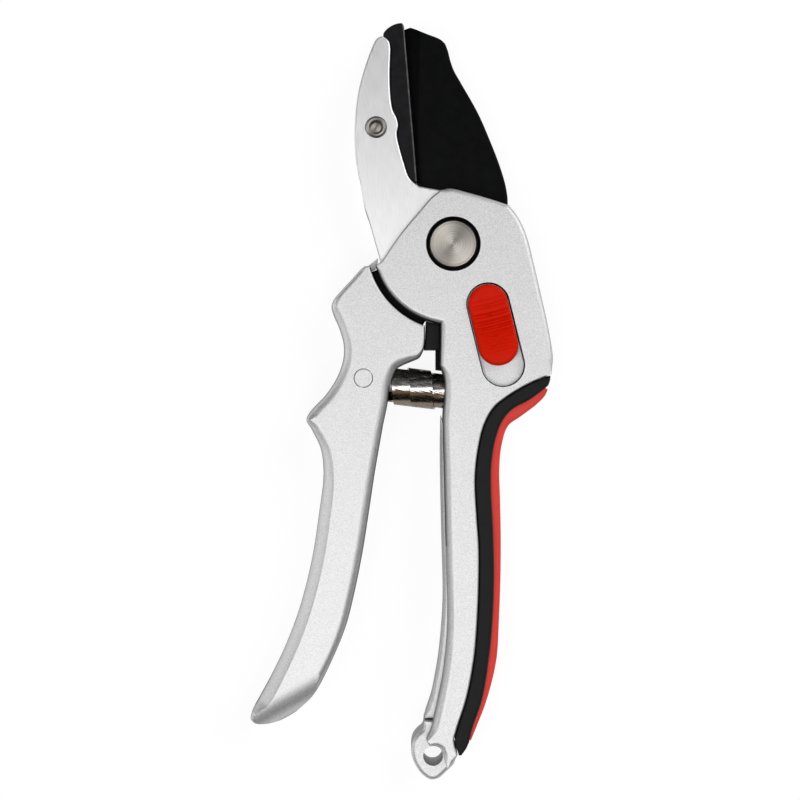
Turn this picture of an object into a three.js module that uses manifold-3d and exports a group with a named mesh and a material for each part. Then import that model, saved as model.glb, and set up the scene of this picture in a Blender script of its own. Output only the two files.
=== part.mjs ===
// Anvil pruning shears, closed and locked, lying flat on their back.
// Millimetres. The pivot axis is the Z axis, the backs of both handles lie on
// Z = 0, and the jaws point along +Y.

import * as THREE from 'three';
import { mergeVertices } from 'three/addons/utils/BufferGeometryUtils.js';
import Module from 'manifold-3d';

const wasm = await Module();
wasm.setup();

// Driving lengths
const jawLength = 56; // pivot to the tip of the anvil arm
const headRadius = 21.2; // pivot to the round lower edge of the head
const gripLength = 99.5; // end of the linkage zone to the end of the eye

// Thicknesses, through the shears from front to back
const handleThickness = 16;
const armThickness = 11.5;
const anvilThickness = 9;
const bladeThickness = 3;
const washerThickness = 0.6;
const eyeThickness = 11;
const lipThickness = 7;
const redThickness = 11;
const ribThickness = 7;
const bumperThickness = 10;

// Fits
const clearance = 0.3;
const overrun = 1; // how far a cutting tool runs past the face it cuts

// Motion
const openingAngle = 26; // degrees
const lockTravel = 5.4;

// Pivot
const boltRadius = 3.7;
const boltHeadRadius = 6.45;
const boltHeadHeight = 2.7;
const boltHeadChamfer = 0.4;
const headRecessGap = 0.7; // round the bolt head
const bushingWall = 1.2;
const washerRadius = 9;
const nutRadius = 6.6;
const nutHeight = 2.8;
const nutFloor = 1.2;

// Blade
const bossRadius = 11.4;
const bossWallGap = 1;
const notchDepth = 1.3; // from the peg's centre to the round edge of the blade
const lobeGap = 0.7; // from that edge to the wall of the slot
const bevelWidth = 4.2;
const edgeThickness = 0.5;
const pinRadius = 2.5;
const pinEndRadius = 4.6;

// Anvil fixing
const screwRadius = 1.5;
const screwHeadRadius = 2.7;
const screwHeadHeight = 1.7;
const screwProud = 0.5;
const socketRadius = 1.6;
const socketDepth = 1;
const anvilNutHeight = 1.9;
const tongueThickness = 3.6;
const tongueRadius = 3.6;

// Lock
const sliderRadius = 5.4;
const sliderProud = 1.6;
const recessDepth = 2.2;
const gripRibs = 11;
const gripRibDepth = 0.45;
const gripRibWidth = 0.75;
const pegRadius = 1.5;
const pegSocketDepth = 1.3;
const retainerRadius = 3.2;
const detentBallRadius = 1;
const detentSpringLength = 3.2;
const detentSpringWall = 0.4;

// Spring
const springTurns = 2.5;
const springStepsPerTurn = 8;
const springEndRadius = 4;
const springMiddleRadius = 5.2;
const springStripThickness = 0.5;
const springTurnGap = 0.58;
const springSeatGap = 0.5;
const springPocketShare = 0.25;
const springPegRadius = 1.9;
const springPegLength = 2.6;

// Bumper, grips, lever tongue and hanging eye
const bumperPlugRadius = 1.3;
const bumperPlugLength = 3.4;
const ribReach = 1.5;
const redDepth = 1; // how deep the red strip sits in the black one
const ribRoot = 2;
const ribStartKnots = 5; // where the rib starts and ends, counted along the seat
const ribEndKnots = 4;
const leverArcGap = 1.3;
const eyeHoleRadius = 2.7;

// Roundings of the cast and moulded edges
const fineRounding = 0.5;
const headRounding = 0.9;
const handleRounding = 1.4;
const palmRounding = 3.5;
const tipRounding = 1.8;
const underRounding = 2.4;
const softRounding = 1.1;

// How finely curves are stepped
const stepsPerSpan = 2;
const roundingSteps = 2;
const arcStepAngle = 7;
const boreSides = 28;
const smallBoreSides = 16;
const hexSides = 6;
const cornerStretch = 1.5; // the most that a corner's offset may grow
const wallRoundingShare = 0.42; // the most of a wall that one rounding takes
const keptEdgeShare = 0.08; // the least of an edge that its roundings leave
const fitShrinkShare = 0.15; // how much a rounding shrinks at a time until it fits
const fitRounds = 60;
const joinTolerance = 0.02;
const lineTolerance = 0.0005; // square millimetres, below which three points are in line

// Outlines of the jaws, as shares of the jaw length
const armBackShares = [
  [-0.451, 0.307], [-0.472, 0.415], [-0.476, 0.595], [-0.458, 0.749], [-0.419, 0.888],
  [-0.388, 0.968], [-0.371, 0.998], [-0.353, 1.009], [-0.34, 1.01],
];
const armRimShares = [
  [-0.34, 1.01], [-0.322, 0.999], [-0.308, 0.979], [-0.304, 0.947], [-0.307, 0.847],
  [-0.304, 0.73], [-0.293, 0.655], [-0.273, 0.612], [-0.266, 0.575], [-0.273, 0.538],
  [-0.257, 0.46], [-0.238, 0.395], [-0.218, 0.334], [-0.196, 0.305],
];
const armNeckShares = [[-0.164, 0.283]];
const anvilTopShares = [
  [-0.34, 1.01], [-0.337, 1.03], [-0.323, 1.049], [-0.292, 1.07], [-0.262, 1.079],
  [-0.246, 1.078], [-0.237, 1.062],
];
const anvilFaceShares = [
  [-0.237, 1.062], [-0.222, 0.883], [-0.205, 0.675], [-0.187, 0.463], [-0.175, 0.306],
];
const bladeSpineShares = [
  [0.264, 0.276], [0.235, 0.382], [0.183, 0.518], [0.125, 0.65], [0.038, 0.804],
  [0.008, 0.857], [-0.011, 0.91], [-0.022, 0.954], [-0.036, 0.991],
];
const bladeTipShares = [
  [-0.036, 0.991], [-0.06, 1.012], [-0.134, 1.042], [-0.183, 1.062], [-0.206, 1.071],
];
const screwPlaceShare = [-0.373, 0.568];
const tongueRootShare = -0.25;

// Outlines of the head and linkage, as shares of the head's radius
const linkageDropShare = 2.12;
const headArcShare = 1.03;
const headTopShares = [
  [-0.165, 0.698], [-0.042, 0.722], [0.208, 0.665], [0.467, 0.59], [0.712, 0.509],
];
const headSideShares = [
  [0.712, 0.509], [0.83, 0.358], [0.937, 0.137], [1.038, -0.245], [1.135, -0.66],
  [1.219, -1.038], [1.273, -1.344], [1.284, -1.486], [1.25, -1.679],
];
const headStepShares = [
  [-0.929, -0.217], [-0.873, -0.137], [-0.679, 0.142], [-0.425, 0.443], [-0.297, 0.594],
  [-0.165, 0.698],
];
const armRootShares = [
  [-0.92, -0.283], [-0.939, -0.17], [-1, 0.047], [-1.066, 0.283], [-1.137, 0.505],
];
const armHiddenShares = [[-0.165, 0.698], [0, 0.425], [-0.142, -0.377]];
const slotWallShare = [-0.5, 0.9];
const slotReachShare = 1.5;
const bladeShoulderShares = [[0.519, -0.142], [0.637, 0.236], [0.712, 0.514]];
const bladeHeelShares = [[-0.467, 0.566], [-0.505, 0.184]];
const tangLeadShares = [[-1.104, -0.349], [-1.274, -0.66], [-1.33, -1.038], [-1.349, -1.415]];
const tangTrailShares = [
  [-0.925, -1.58], [-0.825, -1.344], [-0.66, -1.25], [-0.467, -1.236], [-0.434, -1.104],
];
const bladePinPlaceShare = [-1.146, -1.712];
const seatUpperShares = [[1.241, -1.679], [0.976, -1.792], [0.722, -1.939], [0.528, -2.094]];
const innerUpperShares = [
  [-0.131, -2.184], [-0.127, -2.094], [-0.116, -1.934], [-0.113, -1.755], [-0.138, -1.627],
  [-0.165, -1.55],
];
const neckShares = [[-0.165, -1.55], [-0.165, -1.04]];
const gripCrownShares = [[1.236, -1.741], [1.217, -1.802]];
const splitUpperShares = [[1.165, -1.849], [0.976, -1.986], [0.75, -2.113]];
const redUpperShares = [[1.216, -1.854], [1.18, -1.935], [1.078, -2.042], [0.872, -2.2]];
const noseShares = [[-0.354, -1.189], [-0.366, -1.316], [-0.387, -1.377]];
const leverUnderShares = [
  [-0.387, -1.377], [-0.43, -1.447], [-0.533, -1.495], [-0.64, -1.54], [-0.717, -1.59],
  [-0.77, -1.69], [-0.811, -1.826], [-0.835, -2.014],
];
const leverShoulderShares = [
  [-1.873, -2.236], [-1.778, -2.075], [-1.627, -1.915], [-1.486, -1.693], [-1.41, -1.467],
  [-1.406, -1.274], [-1.467, -1.061], [-1.538, -0.896], [-1.561, -0.792], [-1.528, -0.698],
  [-1.439, -0.59], [-1.316, -0.458], [-1.189, -0.318], [-1.127, -0.278],
];
const neckRibShares = [
  [-0.217, -1.365], [-0.217, -1.6], [-0.08, -1.62], [-0.08, -1.365],
];
const leverTongueShares = [
  [-1.15, -0.31], [-1.083, -0.252], [-0.965, -0.158], [-0.968, -0.2], [-1.008, -0.33],
  [-1.12, -0.38],
];
const springSeatShares = [[-0.811, -1.8], [-0.116, -1.885]];
const bumperShares = [
  [-0.18, -1.034], [-0.18, -1.349], [-0.34, -1.349], [-0.34, -0.994],
];
const bumperPlugShare = [-0.18, -1.19];
const sliderTopShare = [0.444, -0.772];
const sliderBottomShare = [0.573, -1.297];

// Outlines of the handles below the linkage, as shares of the grip length
const seatLowerShares = [
  [0.086, -0.042], [0.07, -0.108], [0.062, -0.186], [0.066, -0.282], [0.072, -0.372],
  [0.072, -0.462], [0.068, -0.569], [0.059, -0.677], [0.038, -0.786], [0.012, -0.867],
  [0.005, -0.899], [0.015, -0.938],
];
const gripEndShares = [[0.022, -0.938], [0.035, -0.92]];
const splitLowerShares = [
  [0.133, -0.031], [0.114, -0.083], [0.104, -0.146], [0.103, -0.217], [0.108, -0.32],
  [0.111, -0.447], [0.107, -0.569], [0.097, -0.677], [0.079, -0.786], [0.052, -0.867],
  [0.0435, -0.903],
];
const redLowerShares = [
  [0.151, -0.043], [0.133, -0.097], [0.127, -0.163], [0.129, -0.241], [0.131, -0.347],
  [0.13, -0.464], [0.126, -0.573], [0.119, -0.682], [0.093, -0.79], [0.064, -0.866],
  [0.049, -0.902],
];
const bodyEndShares = [[0.002, -0.958], [-0.015, -0.974]];
const eyeStepShares = [
  [-0.015, -0.974], [-0.023, -0.957], [-0.028, -0.937], [-0.036, -0.922], [-0.05, -0.916],
  [-0.066, -0.912], [-0.073, -0.899],
];
const innerLowerShares = [
  [-0.073, -0.899], [-0.059, -0.864], [-0.04, -0.786], [-0.025, -0.704], [-0.015, -0.583],
  [-0.019, -0.402], [-0.025, -0.151], [-0.028, -0.04],
];
const eyeShares = [
  [-0.075, -0.828], [-0.081, -0.872], [-0.098, -0.889], [-0.11, -0.907], [-0.114, -0.934],
  [-0.11, -0.956], [-0.101, -0.977], [-0.084, -1], [-0.062, -1.0145], [-0.041, -1.012],
  [-0.017, -0.992], [0.004, -0.97], [0.008, -0.951], [0.002, -0.874],
];
const eyeHoleShare = [-0.054, -0.948];
const lipShares = [
  [-0.032, -0.015], [-0.034, -0.101], [-0.032, -0.251], [-0.029, -0.372], [-0.026, -0.503],
  [-0.029, -0.583], [-0.038, -0.677], [-0.047, -0.732], [-0.058, -0.786], [-0.073, -0.832],
];
const lipHiddenShares = [[-0.02, -0.835], [0.01, -0.704], [0.02, -0.452], [0.015, -0.151]];
const leverInnerShares = [
  [-0.191, -0.04], [-0.215, -0.178], [-0.229, -0.272], [-0.248, -0.392], [-0.27, -0.502],
  [-0.294, -0.596], [-0.331, -0.687], [-0.379, -0.776], [-0.429, -0.826],
];
const leverTipShares = [
  [-0.429, -0.826], [-0.458, -0.844], [-0.483, -0.853], [-0.512, -0.858], [-0.541, -0.853],
  [-0.551, -0.84], [-0.548, -0.82],
];
const leverBackShares = [
  [-0.548, -0.82], [-0.527, -0.782], [-0.499, -0.73], [-0.457, -0.641], [-0.419, -0.539],
  [-0.386, -0.409], [-0.366, -0.281], [-0.354, -0.173], [-0.362, -0.105], [-0.386, -0.054],
];

// How far up the back of the eye and of the lip lie, as shares of the handle's thickness
const eyeBaseShare = 0.03;
const lipBaseShare = 0.12;

// Angles round the pivot, in degrees counterclockwise from +X
const slotRootAngle = 151.6;
const bossStartAngle = 165;
const leverCornerAngle = 194.5;
const armEndAngle = 195;
const tangLeadAngle = 197.5;
const noseAngle = 251;
const headCornerAngle = 260.8;
const lobeEndAngle = 308;
const slotMouthAngle = 345;
const slotJawAngle = 448;
const pinEndAngles = [180, 350]; // round the blade pin
const slotLeadMargin = 10; // kept clear beyond the open blade

// Levels worked out from the thicknesses
const front = handleThickness;
const mid = handleThickness / 2;
const bladeTop = mid + bladeThickness / 2;
const bladeBottom = mid - bladeThickness / 2;
const slotTop = bladeTop + 2 * clearance + washerThickness;
const slotBottom = bladeBottom - 2 * clearance - washerThickness;
const recessFloor = front - recessDepth;
const linkageDrop = headRadius * linkageDropShare;
const headArcRadius = headRadius * headArcShare;
const leverArcRadius = headArcRadius + leverArcGap;
const boltBore = boltRadius + clearance;
const slotReach = headRadius * slotReachShare;

// Places

const inZone = (shares, size, drop) => shares.map(
  ([x, y]) => new THREE.Vector2(x * size, y * size - drop),
);
const inJaw = (shares) => inZone(shares, jawLength, 0);
const inHead = (shares) => inZone(shares, headRadius, 0);
const inGrip = (shares) => inZone(shares, gripLength, linkageDrop);

const screwPlace = inJaw([screwPlaceShare])[0];
const bladePinPlace = inHead([bladePinPlaceShare])[0];
const sliderTop = inHead([sliderTopShare])[0];
const sliderBottom = inHead([sliderBottomShare])[0];
const slideDirection = sliderBottom.clone().sub(sliderTop).normalize();
const lobeRadius = sliderTop.length() + notchDepth;
const slotRadius = lobeRadius + lobeGap;
const pegUnlocked = sliderTop.clone().addScaledVector(slideDirection, lockTravel);
const recessBottom = sliderBottom.clone().addScaledVector(slideDirection, lockTravel);
const eyeHolePlace = inGrip([eyeHoleShare])[0];
const bumperPlugPlace = inHead([bumperPlugShare])[0];
const [leverSeat, neckSeat] = inHead(springSeatShares);
const springDirection = neckSeat.clone().sub(leverSeat).normalize();

// Outline runs: lists of points whose z is the rounding radius at that point

function polar(radius, degrees, centre = new THREE.Vector2()) {
  const angle = THREE.MathUtils.degToRad(degrees);
  return new THREE.Vector2(
    centre.x + radius * Math.cos(angle),
    centre.y + radius * Math.sin(angle),
  );
}

function straight(places, rounding = 0) {
  return places.map((place) => new THREE.Vector3(place.x, place.y, rounding));
}

// A smooth curve through places, with its roundings spread evenly along it.
function curve(places, ...roundings) {
  const list = roundings.length > 0 ? roundings : [0];
  const roundingAt = (share) => {
    const along = share * (list.length - 1);
    const index = Math.min(Math.floor(along), list.length - 2);
    return list.length < 2
      ? list[0]
      : THREE.MathUtils.lerp(list[index], list[index + 1], along - index);
  };
  const knots = places.map((place, i) => new THREE.Vector3(
    place.x,
    place.y,
    roundingAt(i / (places.length - 1)),
  ));
  const spline = new THREE.CatmullRomCurve3(knots, false, 'centripetal');
  return spline.getPoints((places.length - 1) * stepsPerSpan);
}

function arc(radius, from, to, rounding = 0, centre = new THREE.Vector2()) {
  const steps = Math.max(2, Math.ceil(Math.abs(to - from) / arcStepAngle));
  const run = [];
  for (let i = 0; i <= steps; i += 1) {
    const place = polar(radius, THREE.MathUtils.lerp(from, to, i / steps), centre);
    run.push(new THREE.Vector3(place.x, place.y, rounding));
  }
  return run;
}

const backwards = (run) => [...run].reverse();

// Joins runs into one closed outline, counterclockwise and with no point twice.
function outline(...runs) {
  const points = [];
  for (const point of runs.flat()) {
    const last = points[points.length - 1];
    const apart = last ? Math.hypot(point.x - last.x, point.y - last.y) : Infinity;
    if (apart > joinTolerance) {
      points.push(point);
    }
  }
  const first = points[0];
  const last = points[points.length - 1];
  if (Math.hypot(first.x - last.x, first.y - last.y) < joinTolerance) {
    points.pop();
  }
  const bends = points.filter((point, i) => {
    const before = points.at(i - 1);
    const after = points[(i + 1) % points.length];
    const turn = (point.x - before.x) * (after.y - point.y)
      - (point.y - before.y) * (after.x - point.x);
    return Math.abs(turn) > lineTolerance;
  });
  return THREE.ShapeUtils.area(bends) < 0 ? bends.reverse() : bends;
}

// The unit normal on the left of each point's path, longer at corners so that
// both neighbouring edges move by the same distance.
function leftNormals(points, closed) {
  return points.map((point, i) => {
    const before = closed ? points.at(i - 1) : points[Math.max(i - 1, 0)];
    const after = closed
      ? points[(i + 1) % points.length]
      : points[Math.min(i + 1, points.length - 1)];
    const into = new THREE.Vector2(point.x - before.x, point.y - before.y);
    const out = new THREE.Vector2(after.x - point.x, after.y - point.y);
    if (into.length() === 0) {
      into.copy(out);
    }
    if (out.length() === 0) {
      out.copy(into);
    }
    into.normalize();
    out.normalize();
    const normal = new THREE.Vector2(-into.y - out.y, into.x + out.x).normalize();
    const stretch = 1 / Math.max(normal.x * -into.y + normal.y * into.x, 1 / cornerStretch);
    return normal.multiplyScalar(stretch);
  });
}

// Moves an open run sideways, to the left of its direction.
function shifted(run, distance) {
  const normals = leftNormals(run, false);
  return run.map((point, i) => new THREE.Vector3(
    point.x + normals[i].x * distance,
    point.y + normals[i].y * distance,
    point.z,
  ));
}

// Grows a closed outline outwards on all sides.
function grown(points, distance) {
  const normals = leftNormals(points, true);
  return points.map((point, i) => new THREE.Vector3(
    point.x - normals[i].x * distance,
    point.y - normals[i].y * distance,
    point.z,
  ));
}

// Solids

function solidOf(geometry) {
  const bare = geometry.clone();
  bare.deleteAttribute('normal');
  bare.deleteAttribute('uv');
  const merged = mergeVertices(bare);
  return new wasm.Manifold(new wasm.Mesh({
    numProp: 3,
    vertProperties: merged.attributes.position.array,
    triVerts: merged.index.array,
  }));
}

// Joins rings with the same number of points into a skin with flat ends.
function stack(rings) {
  const count = rings[0].length;
  const positions = rings.flat().flatMap((point) => [point.x, point.y, point.z]);
  const indices = [];
  for (let level = 0; level < rings.length - 1; level += 1) {
    for (let i = 0; i < count; i += 1) {
      const next = (i + 1) % count;
      const low = level * count;
      const high = low + count;
      indices.push(low + i, low + next, high + next);
      indices.push(low + i, high + next, high + i);
    }
  }
  const lid = (rings.length - 1) * count;
  for (const [a, b, c] of THREE.ShapeUtils.triangulateShape(rings[0], [])) {
    indices.push(c, b, a);
  }
  for (const [a, b, c] of THREE.ShapeUtils.triangulateShape(rings[rings.length - 1], [])) {
    indices.push(lid + a, lid + b, lid + c);
  }
  const geometry = new THREE.BufferGeometry();
  geometry.setAttribute('position', new THREE.Float32BufferAttribute(positions, 3));
  geometry.setIndex(indices);
  return solidOf(geometry);
}

function prism(points, bottom, top) {
  const at = (level) => points.map((point) => new THREE.Vector3(point.x, point.y, level));
  return stack([at(bottom), at(top)]);
}

// How far the far side of a closed outline is from a point, along its normal.
function wallAhead(points, start, normal) {
  const from = points[start];
  let nearest = Infinity;
  points.forEach((corner, i) => {
    const next = (i + 1) % points.length;
    const side = { x: points[next].x - corner.x, y: points[next].y - corner.y };
    const apart = { x: corner.x - from.x, y: corner.y - from.y };
    const turn = normal.x * side.y - normal.y * side.x;
    const ahead = (apart.x * side.y - apart.y * side.x) / turn;
    const along = (apart.x * normal.y - apart.y * normal.x) / turn;
    if (i !== start && next !== start && ahead > 0 && along >= 0 && along <= 1) {
      nearest = Math.min(nearest, ahead);
    }
  });
  return nearest;
}

// Each point's rounding, limited by its wall and by the edges next to it.
function fittedRoundings(points, normals) {
  const radii = points.map((point, i) => Math.min(
    Math.max(point.z, fineRounding),
    wallAhead(points, i, normals[i]) * wallRoundingShare,
  ));
  for (let round = 0; round < fitRounds; round += 1) {
    const tight = points.map((point, i) => {
      const next = (i + 1) % points.length;
      const edge = new THREE.Vector2(points[next].x - point.x, points[next].y - point.y);
      const kept = edge.clone()
        .addScaledVector(normals[next], radii[next])
        .addScaledVector(normals[i], -radii[i]);
      return edge.dot(kept) < edge.lengthSq() * keptEdgeShare;
    });
    tight.forEach((isTight, i) => {
      if (isTight) {
        radii[i] /= 1 + fitShrinkShare;
        radii[(i + 1) % points.length] /= 1 + fitShrinkShare;
      }
    });
  }
  return radii;
}

// A plate whose front and back edges are rounded by each point's own radius.
function slab(points, bottom, top) {
  const normals = leftNormals(points, true);
  const radii = fittedRoundings(points, normals);
  const ring = (step, side) => points.map((point, i) => {
    const angle = (Math.PI / 2) * (step / roundingSteps);
    const inset = radii[i] * (1 - Math.cos(angle));
    const drop = radii[i] * (1 - Math.sin(angle));
    return new THREE.Vector3(
      point.x + normals[i].x * inset,
      point.y + normals[i].y * inset,
      side > 0 ? top - drop : bottom + drop,
    );
  });
  const rings = [];
  for (let step = roundingSteps; step >= 0; step -= 1) {
    rings.push(ring(step, -1));
  }
  for (let step = 0; step <= roundingSteps; step += 1) {
    rings.push(ring(step, 1));
  }
  return stack(rings);
}

function disc(radius, bottom, top, place = new THREE.Vector2(), sides = boreSides) {
  const geometry = new THREE.CylinderGeometry(radius, radius, top - bottom, sides);
  geometry.rotateX(Math.PI / 2);
  geometry.translate(place.x, place.y, (top + bottom) / 2);
  return solidOf(geometry);
}

function turned(profile, place = new THREE.Vector2(), sides = boreSides) {
  const points = profile.map(([radius, level]) => new THREE.Vector2(radius, level));
  const geometry = new THREE.LatheGeometry(points, sides);
  geometry.rotateX(Math.PI / 2);
  geometry.translate(place.x, place.y, 0);
  return solidOf(geometry);
}

function ballAt(radius, place, level) {
  const geometry = new THREE.SphereGeometry(radius, smallBoreSides, smallBoreSides / 2);
  geometry.translate(place.x, place.y, level);
  return solidOf(geometry);
}

function stadiumOutline(from, to, radius, rounding = 0) {
  const angle = THREE.MathUtils.radToDeg(Math.atan2(to.y - from.y, to.x - from.x));
  return outline(
    arc(radius, angle + 90, angle + 270, rounding, from),
    arc(radius, angle - 90, angle + 90, rounding, to),
  );
}

// A round rod in the plane of the shears, at mid thickness.
function rod(radius, from, to) {
  const geometry = new THREE.CylinderGeometry(radius, radius, from.distanceTo(to), smallBoreSides);
  geometry.rotateZ(Math.atan2(to.y - from.y, to.x - from.x) - Math.PI / 2);
  geometry.translate((from.x + to.x) / 2, (from.y + to.y) / 2, mid);
  return solidOf(geometry);
}

const joined = (...solids) => solids.reduce((all, solid) => all.add(solid));
const cut = (solid, ...tools) => tools.reduce((rest, tool) => rest.subtract(tool), solid);

// Outlines shared by mating pieces

const anvilFace = curve(inJaw(anvilFaceShares), fineRounding);

const anvilOutline = outline(
  curve(inJaw(anvilTopShares), fineRounding),
  anvilFace,
  backwards(curve(inJaw(armRimShares), fineRounding)),
);

const tongueRoot = tongueRootShare * jawLength;
const tongueOutline = outline(
  straight([
    new THREE.Vector2(tongueRoot, screwPlace.y + tongueRadius),
    new THREE.Vector2(tongueRoot, screwPlace.y - tongueRadius),
  ]),
  backwards(arc(tongueRadius, 90, 270, 0, screwPlace)),
);

const gripSeat = curve([...inHead(seatUpperShares), ...inGrip(seatLowerShares)], fineRounding);
const gripSplit = curve([...inHead(splitUpperShares), ...inGrip(splitLowerShares)], softRounding);

const blackOutline = outline(
  gripSeat,
  straight(inGrip(gripEndShares), fineRounding),
  backwards(gripSplit),
  straight(backwards(inHead(gripCrownShares)), softRounding),
);

const redOutline = outline(
  backwards(curve(
    [...inHead(redUpperShares), ...inGrip(redLowerShares)],
    fineRounding,
    softRounding,
    softRounding,
    softRounding,
    fineRounding,
  )),
  straight(shifted(gripSplit.slice(0, -1), -redDepth), fineRounding),
);

const ribSeat = gripSeat.slice(ribStartKnots * stepsPerSpan, -ribEndKnots * stepsPerSpan);

const bladeOutline = outline(
  shifted(anvilFace, clearance),
  curve(inHead(bladeHeelShares)),
  arc(bossRadius, bossStartAngle, tangLeadAngle),
  curve(inHead(tangLeadShares)),
  arc(pinEndRadius, ...pinEndAngles, 0, bladePinPlace),
  curve(inHead(tangTrailShares)),
  arc(lobeRadius, noseAngle, lobeEndAngle),
  curve([...inHead(bladeShoulderShares), ...inJaw(bladeSpineShares)]),
  curve(inJaw(bladeTipShares)),
);

// Anvil handle: head, arm, right handle and hanging eye, cast in one piece

function headAndHandle() {
  return slab(outline(
    curve(inHead(headTopShares), headRounding),
    curve(inHead(headSideShares), headRounding),
    gripSeat,
    straight(inGrip(bodyEndShares), fineRounding),
    curve(inGrip(eyeStepShares), fineRounding, headRounding),
    curve([...inGrip(innerLowerShares), ...inHead(innerUpperShares)], handleRounding),
    straight(inHead(neckShares), headRounding),
    arc(headArcRadius, headCornerAngle, armEndAngle, headRounding),
    curve(inHead(headStepShares), fineRounding),
  ), 0, front);
}

function anvilArm() {
  return slab(outline(
    curve([...inHead(armRootShares), ...inJaw(armBackShares)], headRounding),
    curve([...inJaw(armRimShares), ...inJaw(armNeckShares)], fineRounding),
    straight(inHead(armHiddenShares), fineRounding),
  ), mid - armThickness / 2, mid + armThickness / 2);
}

function hangingEye() {
  const base = handleThickness * eyeBaseShare;
  return slab(outline(curve(inGrip(eyeShares), headRounding)), base, base + eyeThickness);
}

function innerLip() {
  const base = handleThickness * lipBaseShare;
  const lip = outline(
    curve(inGrip(lipShares), headRounding),
    straight(inGrip(lipHiddenShares), fineRounding),
  );
  const rib = outline(straight(inHead(neckRibShares), fineRounding));
  return joined(slab(lip, base, base + lipThickness), slab(rib, base, base + lipThickness));
}

// The slot that the blade and its tang swing in, open at the jaws and at the
// round gap above the left handle.
function bladeSlot() {
  const leadAngle = tangLeadAngle - openingAngle - slotLeadMargin;
  const swing = prism(outline(
    arc(slotReach, leadAngle, headCornerAngle),
    arc(slotRadius, headCornerAngle, slotMouthAngle),
    arc(slotReach, slotMouthAngle, slotJawAngle),
    straight(inHead([slotWallShare])),
    arc(bossRadius + bossWallGap, slotRootAngle, leadAngle),
  ), slotBottom, slotTop);
  return joined(swing, prism(grown(bladeOutline, clearance), slotBottom, slotTop));
}

function lockCuts() {
  const retainerWay = retainerRadius + clearance;
  const pegWay = pegRadius + clearance;
  const recess = stadiumOutline(sliderTop, recessBottom, sliderRadius + clearance);
  const detentRadius = detentBallRadius + clearance;
  const detentDepth = detentSpringLength + 2 * detentBallRadius + 2 * clearance;
  return joined(
    prism(recess, recessFloor, front + overrun),
    prism(stadiumOutline(sliderTop, pegUnlocked, pegWay), slotTop - overrun, front),
    prism(stadiumOutline(sliderTop, pegUnlocked, retainerWay), bladeTop, slotTop),
    disc(detentRadius, recessFloor - detentDepth, front, sliderBottom, smallBoreSides),
  );
}

function pivotCuts() {
  const recessBase = front - boltHeadHeight - clearance;
  return joined(
    disc(boltBore, -overrun, front + overrun),
    disc(boltHeadRadius + headRecessGap, recessBase, front + overrun),
    disc(nutRadius + clearance, -overrun, nutHeight + clearance),
  );
}

function anvilCuts() {
  const back = mid - armThickness / 2;
  const face = mid + armThickness / 2;
  const headBase = face + screwProud - screwHeadHeight;
  const half = anvilThickness / 2 + clearance;
  const tongueHalf = tongueThickness / 2 + clearance;
  const headWay = screwHeadRadius + clearance;
  return joined(
    prism(grown(anvilOutline, clearance), mid - half, mid + half),
    prism(grown(tongueOutline, clearance), mid - tongueHalf, mid + tongueHalf),
    disc(screwRadius + clearance, back - overrun, face + overrun, screwPlace, smallBoreSides),
    disc(headWay, headBase - clearance, face + overrun, screwPlace, smallBoreSides),
    disc(headWay, back - overrun, back + anvilNutHeight + clearance, screwPlace, smallBoreSides),
  );
}

function ribAlongGrip(reach, root, halfThickness) {
  const points = outline(shifted(ribSeat, reach), backwards(shifted(ribSeat, -root)));
  return prism(points, mid - halfThickness, mid + halfThickness);
}

function springPeg(seat, direction) {
  const tip = seat.clone().addScaledVector(direction, springPegLength);
  const root = seat.clone().addScaledVector(direction, -overrun);
  return rod(springPegRadius, root, tip);
}

// Makes room for the spring in the wall of the left handle, from its seat outwards.
function springPocket() {
  const radius = springMiddleRadius + springStripThickness + clearance;
  return rod(radius, leverSeat, leverSeat.clone().lerp(neckSeat, springPocketShare));
}

function bumperHole() {
  const end = bumperPlugPlace.clone();
  end.x += bumperPlugLength + clearance;
  const start = bumperPlugPlace.clone();
  start.x -= overrun;
  return rod(bumperPlugRadius + clearance, start, end);
}

function anvilHandle() {
  const body = joined(headAndHandle(), anvilArm(), hangingEye(), innerLip());
  const towardsLever = springDirection.clone().negate();
  const bare = cut(
    body,
    bladeSlot(),
    lockCuts(),
    pivotCuts(),
    anvilCuts(),
    bumperHole(),
    prism(grown(blackOutline, clearance), -overrun, front + overrun),
    disc(eyeHoleRadius, -overrun, front + overrun, eyeHolePlace),
  );
  return joined(
    bare,
    ribAlongGrip(ribReach, ribRoot, ribThickness / 2),
    springPeg(neckSeat, towardsLever),
  );
}

// Anvil and its fixing

function anvil() {
  const strip = slab(anvilOutline, mid - anvilThickness / 2, mid + anvilThickness / 2);
  const half = tongueThickness / 2;
  const tongue = prism(tongueOutline, mid - half, mid + half);
  const bore = disc(screwRadius + clearance, 0, front, screwPlace, smallBoreSides);
  return cut(joined(strip, tongue), bore);
}

function anvilScrew() {
  const face = mid + armThickness / 2 + screwProud;
  const neck = face - screwHeadHeight;
  const foot = mid - armThickness / 2 + clearance;
  const chamfer = screwProud / 2;
  const body = turned([
    [0, foot], [screwRadius, foot], [screwRadius, neck], [screwHeadRadius, neck],
    [screwHeadRadius, face - chamfer], [screwHeadRadius - chamfer, face], [0, face],
  ], screwPlace, smallBoreSides);
  const socket = disc(socketRadius, face - socketDepth, face + overrun, screwPlace, hexSides);
  return cut(body, socket);
}

function anvilNut() {
  const back = mid - armThickness / 2;
  const hexagon = disc(screwHeadRadius, back, back + anvilNutHeight, screwPlace, hexSides);
  const bore = disc(screwRadius + clearance, -overrun, front, screwPlace, smallBoreSides);
  return cut(hexagon, bore);
}

// Blade with its tang, the bore for the bushing and the notch for the lock peg

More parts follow.
